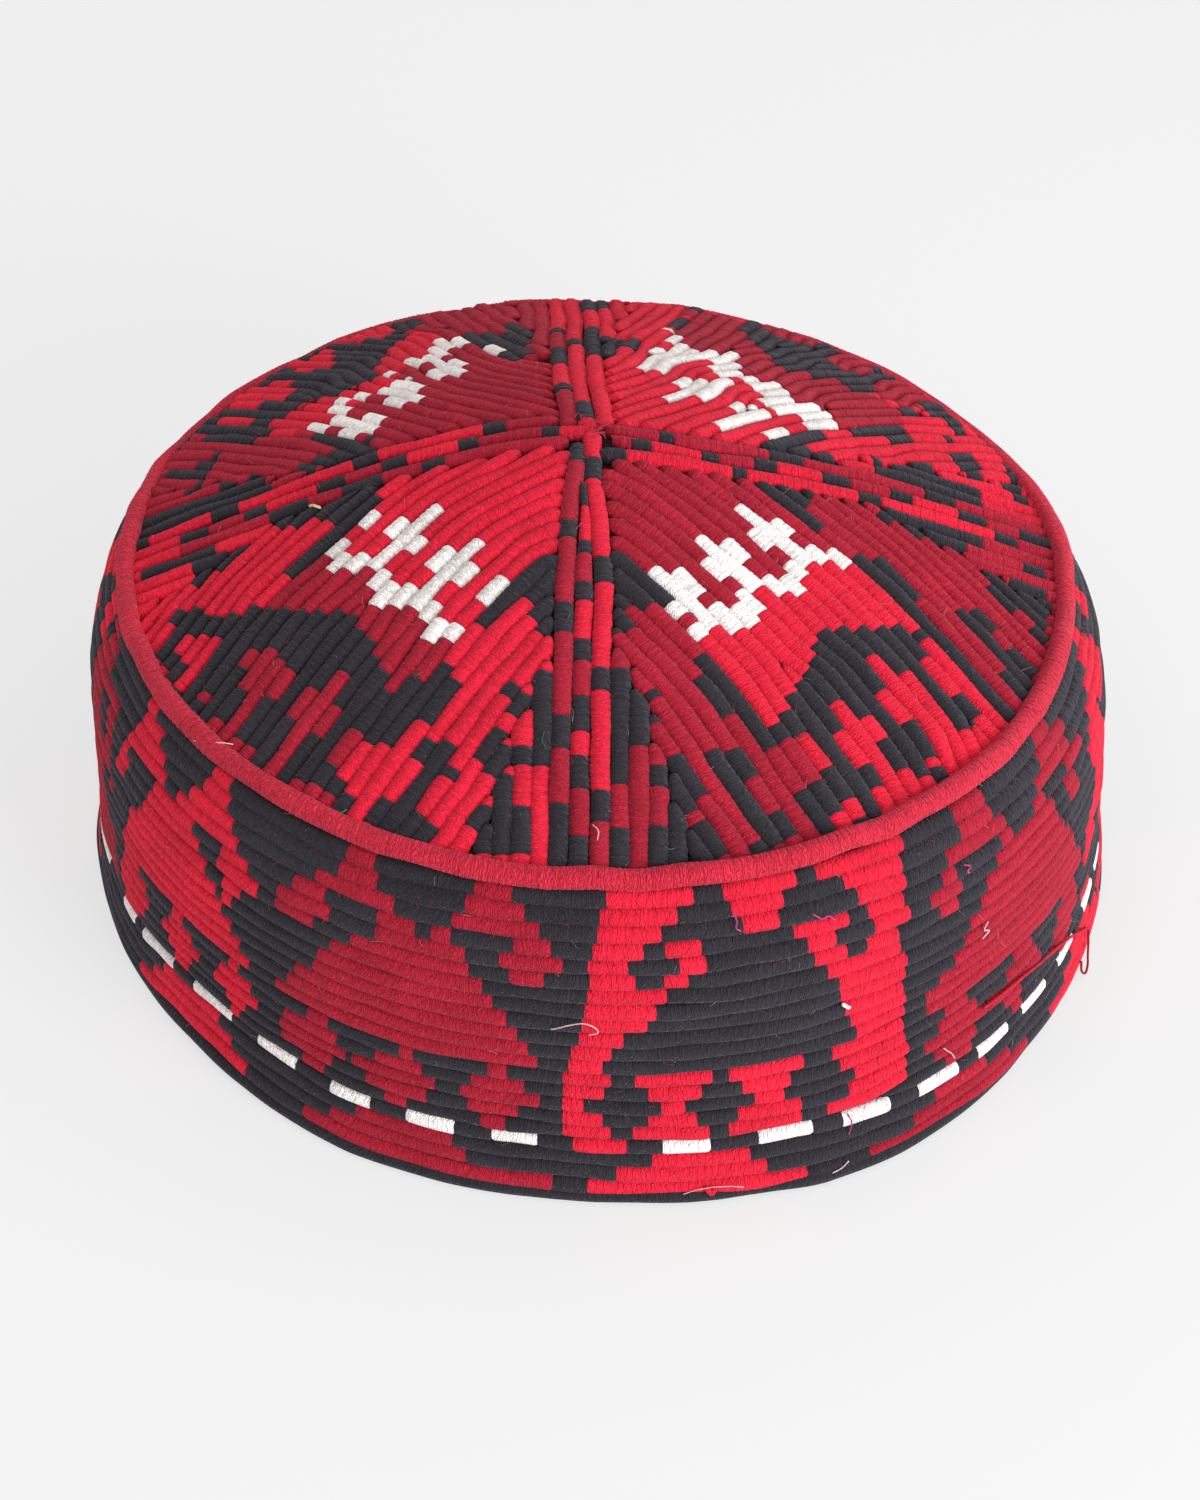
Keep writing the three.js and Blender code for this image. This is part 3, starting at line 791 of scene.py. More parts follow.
for name, charts in RIB_CHARTS.items():
    basket = CordBasket()
    for across, text in zip((1, 0, -1), charts):
        rib_cord(basket, name, across, text)
    basket.make(f"rib_{name}_cords", [f"crown_rib_{name}"])

# %% [markdown]
# ## The crown's quarters
#
# In a quarter the middle cords start at the two ribs and run outwards side by side, and towards
# each rib more cords are let in as the room widens, like the sticks of a fan. Two guide lines in
# plan mark where the parallel cords end and the fans begin. Between two such lines the function
# below shares out the width: each cord has a weight that grows from nothing to one where there
# comes to be room for it, and the weights, added up, give the cords' edges.

# %% Courses of the cords in a quarter
# A program moved these lines sideways, to where cords and charted steps agree best.
GUIDES = {
    "front_left": {"ribs": ("left", "front"), "ground": "B", "inward": 205.9,
                   "first": [(-37, -1.4), (-46.9, -9.8), (-58.7, -20.6), (-70.6, -37.3)],
                   "last": [(-7.2, -28.7), (-18.2, -39.2), (-27.1, -50.3), (-42.1, -69.5)]},
    "front_right": {"ribs": ("front", "right"), "ground": "D", "inward": 321.8,
                   "first": [(2.6, -28.1), (12.3, -38.2), (21.1, -48.4), (35.4, -71)],
                   "last": [(30.5, -5), (38.7, -12.2), (47, -18.9), (56.2, -29.1), (67.4, -43.2)]},
    "back_right": {"ribs": ("right", "back"), "ground": "B", "inward": 46.1,
                   "first": [(30.4, 7), (40.5, 16.4), (49.2, 22.8), (56.9, 28.6), (70.5, 36.9)],
                   "last": [(6, 30.1), (8.9, 37.6), (10.9, 46.1), (16.9, 60.6), (22.4, 78)]},
    "back_left": {"ribs": ("back", "left"), "ground": "D", "inward": 139.4,
                   "first": [(-10.8, 35.7), (-15.3, 44.2), (-19.3, 53.8), (-26.4, 77.4)],
                   "last": [(-35.6, 6.5), (-42.4, 13.8), (-48.8, 20.4), (-60.1, 29.1), (-70.5, 36.9)]},
}
FAN_SPINE = 0.35        # where in a fan new cords are let in, from the rib
LEAST_HALF = 0.55       # a cord starts where there is room for this half width
MIDDLE_PITCH = 2.78     # width of a parallel cord, of one at the crown's edge, and of one in a fan
EDGE_PITCH = 2.95
FAN_PITCH = 2.9
COURSE_STEPS = 60


def outermost(point):
    """A guide's last point carried straight out to the crown's edge."""
    return tuple(np.array(point) * (CROWN_EDGE + 0.2) / math.hypot(*point))


def resampled(points, count):
    points = np.asarray(points, float)
    lengths = lengths_along(points)
    at = np.linspace(0, lengths[-1], count)
    return np.stack([np.interp(at, lengths, points[:, k]) for k in (0, 1)], axis=1)


def at_radii(points, radii):
    """Where a guide crosses circles round the middle."""
    fine = resampled(points, 400)
    reach = np.hypot(fine[:, 0], fine[:, 1])
    order = np.argsort(reach)
    return np.stack([np.interp(radii, reach[order], fine[order, k]) for k in (0, 1)], axis=1)


def share_out(room, first_count, last_count, spine):
    """Edges of the cords as shares of the width, for each station of a widening room."""
    steps = len(room)
    weights = np.zeros((last_count, steps))
    if first_count:
        old = np.unique(np.round(np.linspace(0, last_count - 1, first_count)).astype(int))
    else:
        old = np.array([], int)
    weights[old] = 1.0
    new = [k for k in range(last_count) if k not in set(old.tolist())]
    if first_count:
        middle_first = sorted(new, key=lambda k: (k * 7) % 5 + abs(k - last_count / 2) * 0.2)
    else:
        middle_first = sorted(new, key=lambda k: -abs(k - spine * (last_count - 1)))
    for rank, k in enumerate(middle_first):
        needed = len(old) + rank + 0.45
        capacity = np.maximum.accumulate(room) / room[-1] * last_count
        start = np.argmax(capacity >= needed) if np.any(capacity >= needed) else steps - 1
        rise = np.clip((np.arange(steps) - start) / 5.0 + 0.3, 0, 1)
        rise[:start] = 0
        weights[k] = rise
    total = np.maximum(weights.sum(axis=0), 1e-6)
    edges = np.concatenate([np.zeros((1, steps)), np.cumsum(weights, axis=0)]) / total
    return edges, weights


def region(first_line, last_line, first_count, last_count, spine=0.5, polar=True):
    """Courses between two lines: (plan points, half widths, weights) for each cord."""
    first_line, last_line = np.asarray(first_line, float), np.asarray(last_line, float)
    room = np.linalg.norm(last_line - first_line, axis=1)
    edges, weights = share_out(room, first_count, last_count, spine)
    r0, r1 = np.hypot(*first_line.T), np.hypot(*last_line.T)
    a0 = np.unwrap(np.arctan2(first_line[:, 1], first_line[:, 0]))
    a1 = np.unwrap(np.arctan2(last_line[:, 1], last_line[:, 0]))
    a1 += 2 * math.pi * np.round((a0 - a1) / (2 * math.pi))
    bend = np.linspace(0, 1, len(room)) if not polar else np.ones(len(room))
    bend = bend * bend * (3 - 2 * bend)

    def point(share):
        straight = first_line * (1 - share)[:, None] + last_line * share[:, None]
        radius, angle = r0 * (1 - share) + r1 * share, a0 * (1 - share) + a1 * share
        round_it = np.stack([radius * np.cos(angle), radius * np.sin(angle)], axis=1)
        return straight * (1 - bend)[:, None] + round_it * bend[:, None]

    cords = []
    for k in range(last_count):
        left, right = point(edges[k]), point(edges[k + 1])
        middle = (left + right) / 2
        ahead = unit(np.gradient(middle, axis=0))
        gap = right - left
        width = np.abs(gap[:, 0] * -ahead[:, 1] + gap[:, 1] * ahead[:, 0])
        cords.append((middle, width / 2, weights[k]))
    return cords


def soften(plan, passes=6):
    for _ in range(passes):
        plan[1:-1] = plan[1:-1] * 0.5 + (plan[:-2] + plan[2:]) * 0.25
    return plan


def outside_rib(plan, name, side):
    """True where plan points lie off the rib, on its left (side 1) or right (side -1)."""
    turn = math.radians(RIB_AZIMUTHS[name])
    along = plan[:, 0] * math.cos(turn) + plan[:, 1] * math.sin(turn)
    across = -plan[:, 0] * math.sin(turn) + plan[:, 1] * math.cos(turn)
    half_rib = (closing(name, along) + 0.5) * rib_pitch(name, along)
    edge = np.interp(along, RIB_STATIONS, RIB_ASIDE[name]) * side + half_rib
    return (across * side > edge + 0.3) | (along < -3)


def edge_arc(first, last):
    """The length of the crown's edge between two of its points."""
    return 2 * CROWN_EDGE * math.asin(np.linalg.norm(last - first) / 2 / CROWN_EDGE)


def quarter_courses(guide):
    first_rib, last_rib = guide["ribs"]
    first, last = (np.array(guide[key] + [outermost(guide[key][-1])]) for key in ("first", "last"))
    # The parallel middle, carried inwards past the ribs and then cut off where it meets them.
    outer_first, outer_last = resampled(first, COURSE_STEPS), resampled(last, COURSE_STEPS)
    inward = math.radians(guide["inward"])
    way = np.array([math.cos(inward), math.sin(inward)])
    across = abs(np.dot(last[0] - first[0], [-way[1], way[0]]))
    first_count = int(round(across / MIDDLE_PITCH))
    last_count = max(first_count, int(round(edge_arc(outer_first[-1], outer_last[-1]) / EDGE_PITCH)))
    cords = []
    for middle, half, weight in region(outer_first, outer_last, first_count, last_count, polar=False):
        shown = np.argmax(weight > 0)
        plan, half = middle[shown:], half[shown:]
        if shown == 0:
            back = np.arange(46, 0, -1.0)
            plan = np.concatenate([plan[0] - way * back[:, None], plan])
            half = np.concatenate([np.full(46, half[0]), half])
            plan = soften(plan)
            keep = outside_rib(plan, first_rib, 1) & outside_rib(plan, last_rib, -1)
            begin = len(keep) - np.argmin(keep[::-1]) if not keep.all() else 0
            plan, half = plan[begin:], half[begin:]
        if len(plan) > 4:
            cords.append((plan, half))
    # The fans between the guides and the ribs.
    for points, rib, side, spine in ((first, first_rib, 1, FAN_SPINE), (last, last_rib, -1, 1 - FAN_SPINE)):
        radii = np.linspace(np.hypot(*points[0]), CROWN_EDGE, COURSE_STEPS)
        guide_line = at_radii(points, radii)
        rib_line = rib_place(rib, radii, 1.5 * side)
        pair = (rib_line, guide_line) if side == 1 else (guide_line, rib_line)
        count = max(2, int(round(edge_arc(rib_line[-1], guide_line[-1]) / FAN_PITCH)))
        for middle, half, weight in region(*pair, 0, count, spine):
            wide_enough = (weight > 0) & (half > LEAST_HALF)
            shown = np.argmax(wide_enough) if wide_enough.any() else COURSE_STEPS
            if COURSE_STEPS - shown > 4:
                cords.append((soften(middle[shown:].copy(), 3), half[shown:]))
    return cords


print("cords in the quarters:", {name: len(quarter_courses(guide)) for name, guide in GUIDES.items()})

# %% [markdown]
# ## The charts of the quarters
#
# All four quarters show one traditional figure in changed colours: a plain field, a toothed white
# line with strokes that run back into the field, a second colour beyond it, and a black border
# with two forks. Each is charted as areas of one colour, in millimetres in plan from the
# middle of the crown, and again a line that starts with spaces goes on with the one above it. Later
# areas lie over earlier ones, and a cord takes the colour that most of its width runs through, so
# the stepped edges come from the cords themselves. All areas were read off and then moved
# 0.45 mm towards the back.

# %% Charts of the quarters
CHARTS = {}
CHARTS["front_left"] = """
K -36.5,-1.6 -36.3,-9.1 -39.5,-10.6 -40,-12.6 -42,-14.1 -44,-14.6 -46,-17.6 -47.5,-19.1 -50.5,-21.1
  -53,-19.6 -52.5,-16.6 -47,-14.1 -47,-12.1 -44.5,-11.6 -45,-9.6 -46.5,-8.1 -51,-8.6 -55,-7 -56,-4.5
  -54,-1.6 -50,0.5
D -47.5,-19.4 -50.5,-21.4 -52.5,-23.1 -55,-23.6 -57,-25.6 -54.5,-27.1 -52,-28.1 -49,-29.6 -44.6,-31.1
  -40.5,-32 -39.3,-36 -37,-39.5 -36.5,-42.5 -34.5,-46 -34.3,-49.5 -32.5,-50 -31,-48 -29,-46 -26,-43
  -22,-40 -24.5,-37.5 -27,-36.5 -28.5,-32.5 -32,-29.6 -36.5,-26.6 -38,-22.6 -42,-20.6 -45,-18.1
K -57,-25.6 -58.5,-23.6 -60,-25.9 -63,-25.6 -66,-24.1 -67,-21.6 -71,-21.2 -72.3,-22.4 -71.8,-24.9
  -72.8,-28.6 -74.2,-30.6 -72.4,-33.5 -71.6,-37.5 -72,-40.5 -66,-46.5 -60,-53.5 -53,-60.5 -46,-66.5
  -41,-69.5 -39.5,-68.5 -41,-64.5 -42,-61.5 -38,-56.5 -36,-52.5 -33,-50 -34.5,-49.5 -34.6,-45.5
  -36.5,-41.9 -37.1,-38.5 -39.3,-35.5 -40.3,-31.6 -44.6,-30.6 -49,-29.1 -54.5,-26.6
B -69,-27.6 -65.3,-28.6 -63.4,-29.9 -64,-31.9 -63,-33.2 -63.7,-34.1 -65.3,-34.8 -65.9,-36.6 -68.4,-37.9
  -68.6,-40.5 -70.5,-39.5 -69.5,-36.5 -69.3,-33.5 -70.9,-31.4 -70.6,-29.2
D -62.5,-33 -60,-32.5 -59.5,-34 -62,-35.5
D -66.5,-41 -64.5,-40.5 -64,-42.5 -66,-43.1
D -59,-35.4 -55.9,-34.4 -54.6,-36 -52.8,-34.4 -51.2,-36.6 -52.4,-37.9 -50.6,-41 -52.8,-45.1 -54,-45.1
  -55.9,-43.8 -57.1,-44.8 -58.4,-47.9 -59.6,-51 -57.1,-53.5 -56.5,-57.5 -61,-53.5 -64,-48 -61,-45.5
  -60,-48.5 -59,-42.3 -59.3,-39.8
D -49,-43.5 -47.4,-43.5 -47.1,-46 -44,-43.5 -42.1,-42.9 -40.9,-44.1 -44,-47.3 -44,-48.8 -42.4,-49.1
  -44,-52.3 -45.6,-54.4 -47.1,-53.2 -48.4,-53.8 -49.9,-56 -50.9,-58.8 -53.5,-60.5 -56.5,-58 -54.5,-55
  -53.4,-56 -51.5,-53.5 -49.9,-51 -51.2,-48.5 -49,-46
D -38.3,-54.8 -40.5,-54.5 -43.3,-58.3 -43.7,-60.8 -42,-61.2 -38,-57
D -48.8,-61.5 -44,-64 -43.2,-67 -46,-67.5 -50.5,-63.5
B -34.8,-59.3 -37.5,-57.5 -42.2,-62 -41,-64.8 -39.3,-69 -37,-70.5
B -44,-68.2 -40,-69.3 -40,-73.5 -47,-69.5
K -27,-44.8 -24,-45 -23.2,-49 -26,-52 -28.6,-54.9 -31,-54.1 -34.6,-57.8 -37,-57.8 -38.5,-56 -34,-50.5
  -30,-47
K -31,-58.2 -28,-57.9 -24.3,-58.5 -24.4,-61.3 -26.8,-63.2 -27.8,-65.5 -29.3,-67.3 -30.3,-70.1
  -27.8,-70.3 -27,-75 -31,-75 -35.9,-73 -37.6,-70.5 -36.6,-67.3 -34.6,-67.1 -33,-68.5 -31,-65.1
  -29.8,-61.8
K -26,-62.8 -23.6,-63.1 -23.2,-65.2 -25.6,-65.2
K -18.6,-57.1 -15.8,-57.4 -15.8,-69.5 -12.8,-70.5 -12.8,-77.8 -19.5,-77.8 -21.5,-75 -21.3,-70.5
  -18.6,-69.5
K -21,-59.1 -18.6,-59.1 -18.6,-62.5 -21,-62.3
K -15.5,-49.9 -12.3,-49.9 -12.3,-55.3 -15.5,-55.3
K -15.6,-60.5 -12.3,-60.5 -12.3,-63.5 -15.6,-63.5
K -11.5,-47.9 -8,-47.9 -8,-63.8 -11.5,-63.8
K -10.3,-26.9 -6.2,-26.9 -6.2,-40.8 -10.9,-40.8 -10.6,-35.4 -12.1,-34.2 -14.6,-35.8 -17.8,-39.8
  -20.2,-38.2 -19,-35.4 -16.5,-34.1 -14,-31.2
W -40,-10.6 -36.5,-10.2 -35.2,-12.4 -38.2,-14.6 -40,-12.6
W -43,-14 -41.2,-15.6 -42,-17.8 -40.6,-20.2 -39.3,-19.2 -37.6,-20.8 -36.2,-20.2 -33.4,-18.2 -35.4,-16.4
  -32.6,-13.2 -30.2,-14.6 -26.8,-11.8 -25,-13.4 -29.6,-17.9 -27.4,-20.4 -30.4,-22.4 -32.2,-20.2
  -34.6,-22.2 -36,-23.6 -34.2,-24.9 -33.6,-28.2 -31.4,-28.2 -28.6,-29.8 -26.2,-27.9 -27.8,-25.9
  -24.8,-21.8 -22.8,-23.4 -20.4,-21.4 -17.6,-22.2 -18.2,-24.9 -20.6,-25.6 -19.6,-27.9 -22.2,-30.6
  -24.8,-28.9 -27,-31.8 -26,-33.8 -27.4,-35.5 -24.2,-37.3 -21.6,-38.8 -23.8,-40.9 -26.2,-39.5
  -28.2,-40.5 -30,-38.1 -28.6,-36.1 -30.2,-34.3 -31.2,-31.9 -33.4,-32.5 -34.8,-31.4 -36.6,-32.1
  -38.4,-29.9 -37,-27.9 -38.8,-26.6 -36.8,-24.4 -38.2,-22.6 -41,-23.6 -42.2,-21.6 -44,-22.9 -45.4,-20.4
  -43.4,-18.9 -45.6,-16.9
W -17.2,-29.9 -14.8,-29.9 -14,-31.8 -18,-34.9 -20.2,-33.5
K -78.6,-8.6 -75,-7.5 -72,-6.8 -69,-8 -59.5,-8 -59.5,-10.6 -62,-12.1 -63,-14.1 -69,-14.1 -69,-11.1
  -71,-9.1 -74,-10.6 -78.6,-10.6
K -69,-14.1 -67,-14.1 -66.6,-17.4 -68.6,-16.9
"""
CHARTS["front_right"] = """
K 0,-27.1 4.9,-26.4 7.6,-29.9 9.2,-31.7 10.8,-34.1 13.6,-37.3 12.6,-39.1 10.3,-37.5 7.4,-35.5 5,-34.5
  4.6,-37.5 5,-41.1 1.5,-41.6 0,-33.5
K 0.4,-47.5 4.5,-47.5 4.5,-67 0.6,-67
K 0,-74 3.5,-74 3.5,-80.5 0,-80.5
K 4.6,-51.5 8,-51.5 8,-60.8 4.6,-60.8
K 15.4,-43.9 17,-44.1 18.5,-46.8 22,-49.8 26.5,-54.8 29,-56.5 28,-59.3 25.5,-59.3 23.5,-57.8 20.5,-54
  18.3,-55.5 16.3,-53.1 14.3,-51.1 15.3,-48.8
K 43.4,-17.8 49,-17.4 53,-19.9 54.6,-21.6 53.2,-25.4 55.6,-29.1 57,-31.1 60,-32.5 63,-37.5 67,-43.5
  70,-47.5 60,-57.5 47,-68.5 38,-73 32.4,-72.8 31.8,-70.5 31.2,-68.5 29.8,-66 32.6,-64.5 34,-62.1
  34.6,-60.4 33.1,-58.1 31.5,-56 28,-56.8 27.6,-54.8 29.9,-50.4 30.3,-47.9 32.4,-45.8 34.3,-41.6
  34,-39.8 35.6,-38.5 35.3,-37.3 36.5,-35.4 38.4,-35.5 40.3,-33.4 42.1,-34.2 43.4,-33.3 47.1,-32.5
  49.6,-30.9 52,-32.1 53.1,-30.4 49,-25.6 46.5,-21.6
B 53.4,-33.5 55.6,-31.2 56.7,-33.5 58,-36 60.5,-37.9 61.4,-40.5 66.3,-44.8 70,-47.5 62,-57.5 54.6,-59.5
  52,-56.8 53.1,-53.8 51.5,-51.6 49.6,-51 47.8,-49.8 45.3,-47.9 44,-46.6 45.6,-45.1 44.6,-42.9
  42.6,-40.1 44.6,-38.9 46.2,-39.8 47.8,-42.3 48.4,-41.1 50.9,-41.1 52.1,-42.9 54.3,-45.4 54,-47.1
  56.3,-50.3 59.6,-49.1 60.6,-46.6 61.4,-43.5 59.9,-41.8 57.1,-43.4 55.6,-42.9 54.9,-41 53.1,-39.4
B 36.3,-50.1 37.8,-49.2 40.3,-52.4 41.5,-51.1 43.4,-51.4 45.3,-53.5 44.9,-54.8 43.4,-55.1 44.9,-56.6
  47.1,-59.1 49,-58.3 51,-60 52,-62 47.1,-66.5 42,-69 41.3,-64.8 43.1,-62.8 42.1,-60.4 40.3,-59.8
  38.4,-59.1 36.5,-56.9 35.3,-55.4 37.8,-54.8 37.4,-52.3
B 29.4,-57.1 31.5,-56.1 35.1,-60.8 34.1,-62.5 31.5,-61
B 35.5,-67 38,-66.1 39.3,-69 39,-72.5 36,-71.5
B 43.5,-20.1 46.5,-21.6 49,-25.6 53.2,-30.6 52,-32.3 49.6,-31.2 47,-32.8 43.4,-33.5 42,-34.5 40.3,-33.6
  38.5,-35.8 36.5,-35.6 35.3,-37.5 35.6,-38.8 34,-40 34.3,-41.8 32.4,-46 30.3,-48.1 30,-50.5 28,-54.8
  26.5,-54.8 22.5,-50.2 18.5,-46 16.2,-42.5 17.5,-38.5 22,-36 24,-32.5 28,-27.1 32,-24.6 35.5,-19.1
  40,-19.1
K 16,-61 18.1,-59.9 22.3,-61 23.3,-62.9 22.6,-64.8 24.2,-68.5 26,-70 28.3,-71 28.6,-73.5 26,-75 24.5,-78
  22.3,-76.5 22.2,-74.1 21,-69.8 19.7,-67.3 17.9,-63.5
K 10.3,-61.8 13.2,-61.8 14.3,-65.5 15.7,-68.5 12.9,-68.5 12.9,-72.8 14.6,-72.5 17.2,-76 17,-79.5 7,-80
  7,-73.5 9.8,-73
K 7.3,-63.5 10.2,-63.5 10.2,-67.1 7.3,-67.1
W 23.5,-13 24.9,-12.2 29,-14.7 31.5,-13.8 34,-15.5 32.6,-17.7 34,-19.7 36.5,-18.4 37.8,-19.7 39.9,-17.4
  41.5,-18.4 43.6,-19.2 42.1,-21.6 39.6,-20.7 37.1,-22.2 35.4,-21.9 35.5,-24.2 34.2,-26.1 35.1,-27.9
  33.4,-29.7 31.5,-28.8 30.3,-30.7 28.4,-29.4 26.6,-29.2 27.9,-26.4 29.6,-27.6 31.3,-26.2 31.6,-23.6
  33.2,-21.7 31.3,-20.7 29,-20.9 25.7,-19.4 26.5,-16.7
W 16.6,-21.7 18.1,-20.6 20.3,-22.2 22.4,-20.6 23.4,-22.2 25.5,-23.6 24.5,-25.4 26.7,-28.6 26.4,-30.4
  27,-34.1 25.8,-36.6 24,-38.8 21.5,-39 18.4,-38.4 17.3,-40.4 15.9,-41.5 14.4,-39.8 16.3,-37.9
  15.1,-36.2 12.8,-36.8 10.4,-34.1 9.4,-32.3 11,-31.4 8.5,-29.4 10.3,-27.8 11.8,-28.9 14.3,-28.4
  15.9,-29.7 17.6,-31.1 16.7,-33.5 18.1,-34.9 19.9,-33.9 21.2,-34.9 23.2,-33.5 22.2,-31.1 24.4,-30.2
  23.8,-28.6 22.1,-27.6 20.9,-29.4 19.1,-27.9 16.9,-26.1 18.8,-24.9
K 28.5,-5.2 31.5,-4 37.8,-2.5 40.2,-3.5 37.3,-6 36.7,-9.2 38,-11.7 39.4,-14.7 37.1,-13.8 34.7,-10.7
  31.5,-9.4 29.7,-8
K 49.3,-3.5 67.5,-3.1 67,-6.8 61,-8.2 55,-8.5 53,-6.8 49.3,-6.8
K 66.9,-11.9 69,-9.6 70.1,-12.8 74,-13.4 76.7,-11.6 78.2,-15.5 76.2,-21.1 75.6,-27.6 74,-26.9 73.2,-20.7
  69.9,-20.1 68.1,-20.7 67.2,-15.5
K 60.4,-23.6 63.4,-23.1 67,-23.6 66.1,-28.4 69,-29.7 72.3,-30.2 73,-32.3 70.5,-40 68.7,-40.3 66,-36.6
  66.9,-34.1 65.1,-30.1 62.8,-28.8 60.1,-27.4
K 61.6,-38 64,-37.8 67,-43.5 66.5,-45 64.5,-43.8 62.3,-40.5
K 74.2,-5.8 78.2,-6.3 78,-8.8 74.3,-8.2
"""
CHARTS["back_left"] = """
K -60.5,29.4 -65.5,26.9 -68.5,28.9 -71,32.5 -74,36.5 -60,56.5 -45,70.5 -28,79.5 -26,76.5 -28,66.5
  -31,60.5 -36,52.5 -38,43.5 -38,36.5 -44,33.5 -50,33.5 -55,29.4 -57,24.4 -62,22.9 -66,24.4
D -62,46.5 -66,40.5 -72,40.5 -66,52.5 -58,56.5
B -68.5,36.8 -66,37.2 -60,33 -61.5,30.8 -66,32.1 -68.3,33.5
B -66.5,47.5 -62,49 -61,45.5 -58,49.8 -55,47.8 -53.3,41.5 -54.5,37.2 -58,38.8 -61,37.8 -65.5,41.5
B -57,57.5 -55,61 -52,55.5 -50,60.8 -47.3,58.8 -46.5,53.5 -45,50.8 -49,49.7 -53,50.2
B -47.5,62.5 -46.5,69 -41,73 -35.5,71.5 -34.8,63.5 -38,60.8 -44,60.8
D -33,62.5 -30,66.5 -32,76.5 -28,77.5 -26,70.5 -27,62.5 -30,58.5
B -58.6,29.9 -56,22.2 -50.3,20.6 -46,17.4 -43,24.4 -40,27.4 -35,31.4 -33,38.5 -29,42.5 -27,50.5 -24.5,55
  -28,59.7 -31,62.8 -32.3,58.2 -35.8,54.5 -36,50.5 -36.7,44.5 -38,43.2 -37.6,37.5 -41,33.5 -43.2,35.5
  -44.8,32.8 -47.2,34.7 -51,30.6 -53.6,30.4 -56,27.9
K -21.2,57.5 -19,55.2 -14.4,50.5 -13.2,59.5 -10.2,60.2 -9.6,50.5 -10,35.5 -12.2,34.9 -15.4,41.4
  -18.6,45.8 -21.1,51.4
W -49.8,23.2 -48.4,24.8 -46,20.1 -47.4,17.9
W -44,31.6 -46.1,29.4 -46.1,26.3 -44.3,24.4 -45.8,22.6 -43.3,18.2 -44.2,15.8 -41.5,12.8 -40.3,14.4
  -37.8,13.1 -35.3,18.2 -38.1,21.8 -39.6,20.4 -40.9,21.1 -42.5,23.2 -42.1,25.1 -43.7,27.6 -41.8,29.4
W -41.8,29.4 -41,33.6 -38.5,30.1 -39.9,26.8
W -38.2,31.4 -35.3,31.3 -33.2,32.2 -31.7,34.2 -29.7,28.2 -28.4,23.6 -29.9,20.9 -31.5,22.4 -33.7,20.3
  -36.4,23.8 -36.1,25.8 -34.3,26.1 -35.6,28.2
W -36.4,34.9 -34.8,36.5 -34.3,40.2 -35.3,41.8 -36.2,38.2
W -33.4,40.8 -31.9,45.7 -29.6,42.9 -28.7,43.5 -29,46.4 -27.7,50.1 -28.1,52 -26.5,55.7 -25,50.8
  -23.7,48.2 -25.6,41.4 -24,39.2 -22.3,42.4 -20.6,39.5 -21.3,35.1 -19.9,32.6 -22.1,29.6 -24,31.6
  -26.5,30.3 -28.4,34.5 -26.2,36.4 -28,40.5 -30.9,38
W -24.2,52 -22.1,54.9 -20,52 -21.2,46.5
W -18.7,45.1 -16.4,45.5 -14.3,41.4 -15.3,37.5
K -50.2,18.6 -47.5,18.1 -44,14.6 -41,13.1 -38,11.6 -36.6,8.4 -36.8,2.5 -41.3,2.5 -41.7,6.5 -51,6.5
  -51,9.4 -45,10.4 -43.5,12.4 -46.5,14.8
K -77.2,24.4 -74.5,21.6 -70,20.8 -66.3,23.4 -66.8,19.4 -68.8,15.2 -72.3,15.2 -72.3,18.4 -76.2,20.8
K -79.8,16.4 -78,16.4 -78,12.4 -79.8,12.4
K -72.2,13.9 -68.8,13.9 -68.8,10.8 -72.2,10.8
K -80.5,3.5 -80.5,8.6 -67,7.2 -66,10.2 -59,10.2 -55.8,6.5 -55.8,4.5 -62,3.5 -67,3 -76,3
K -78,24.4 -80,24.4 -76,33.5 -72,40.5 -70,38.5 -74,31.4
"""
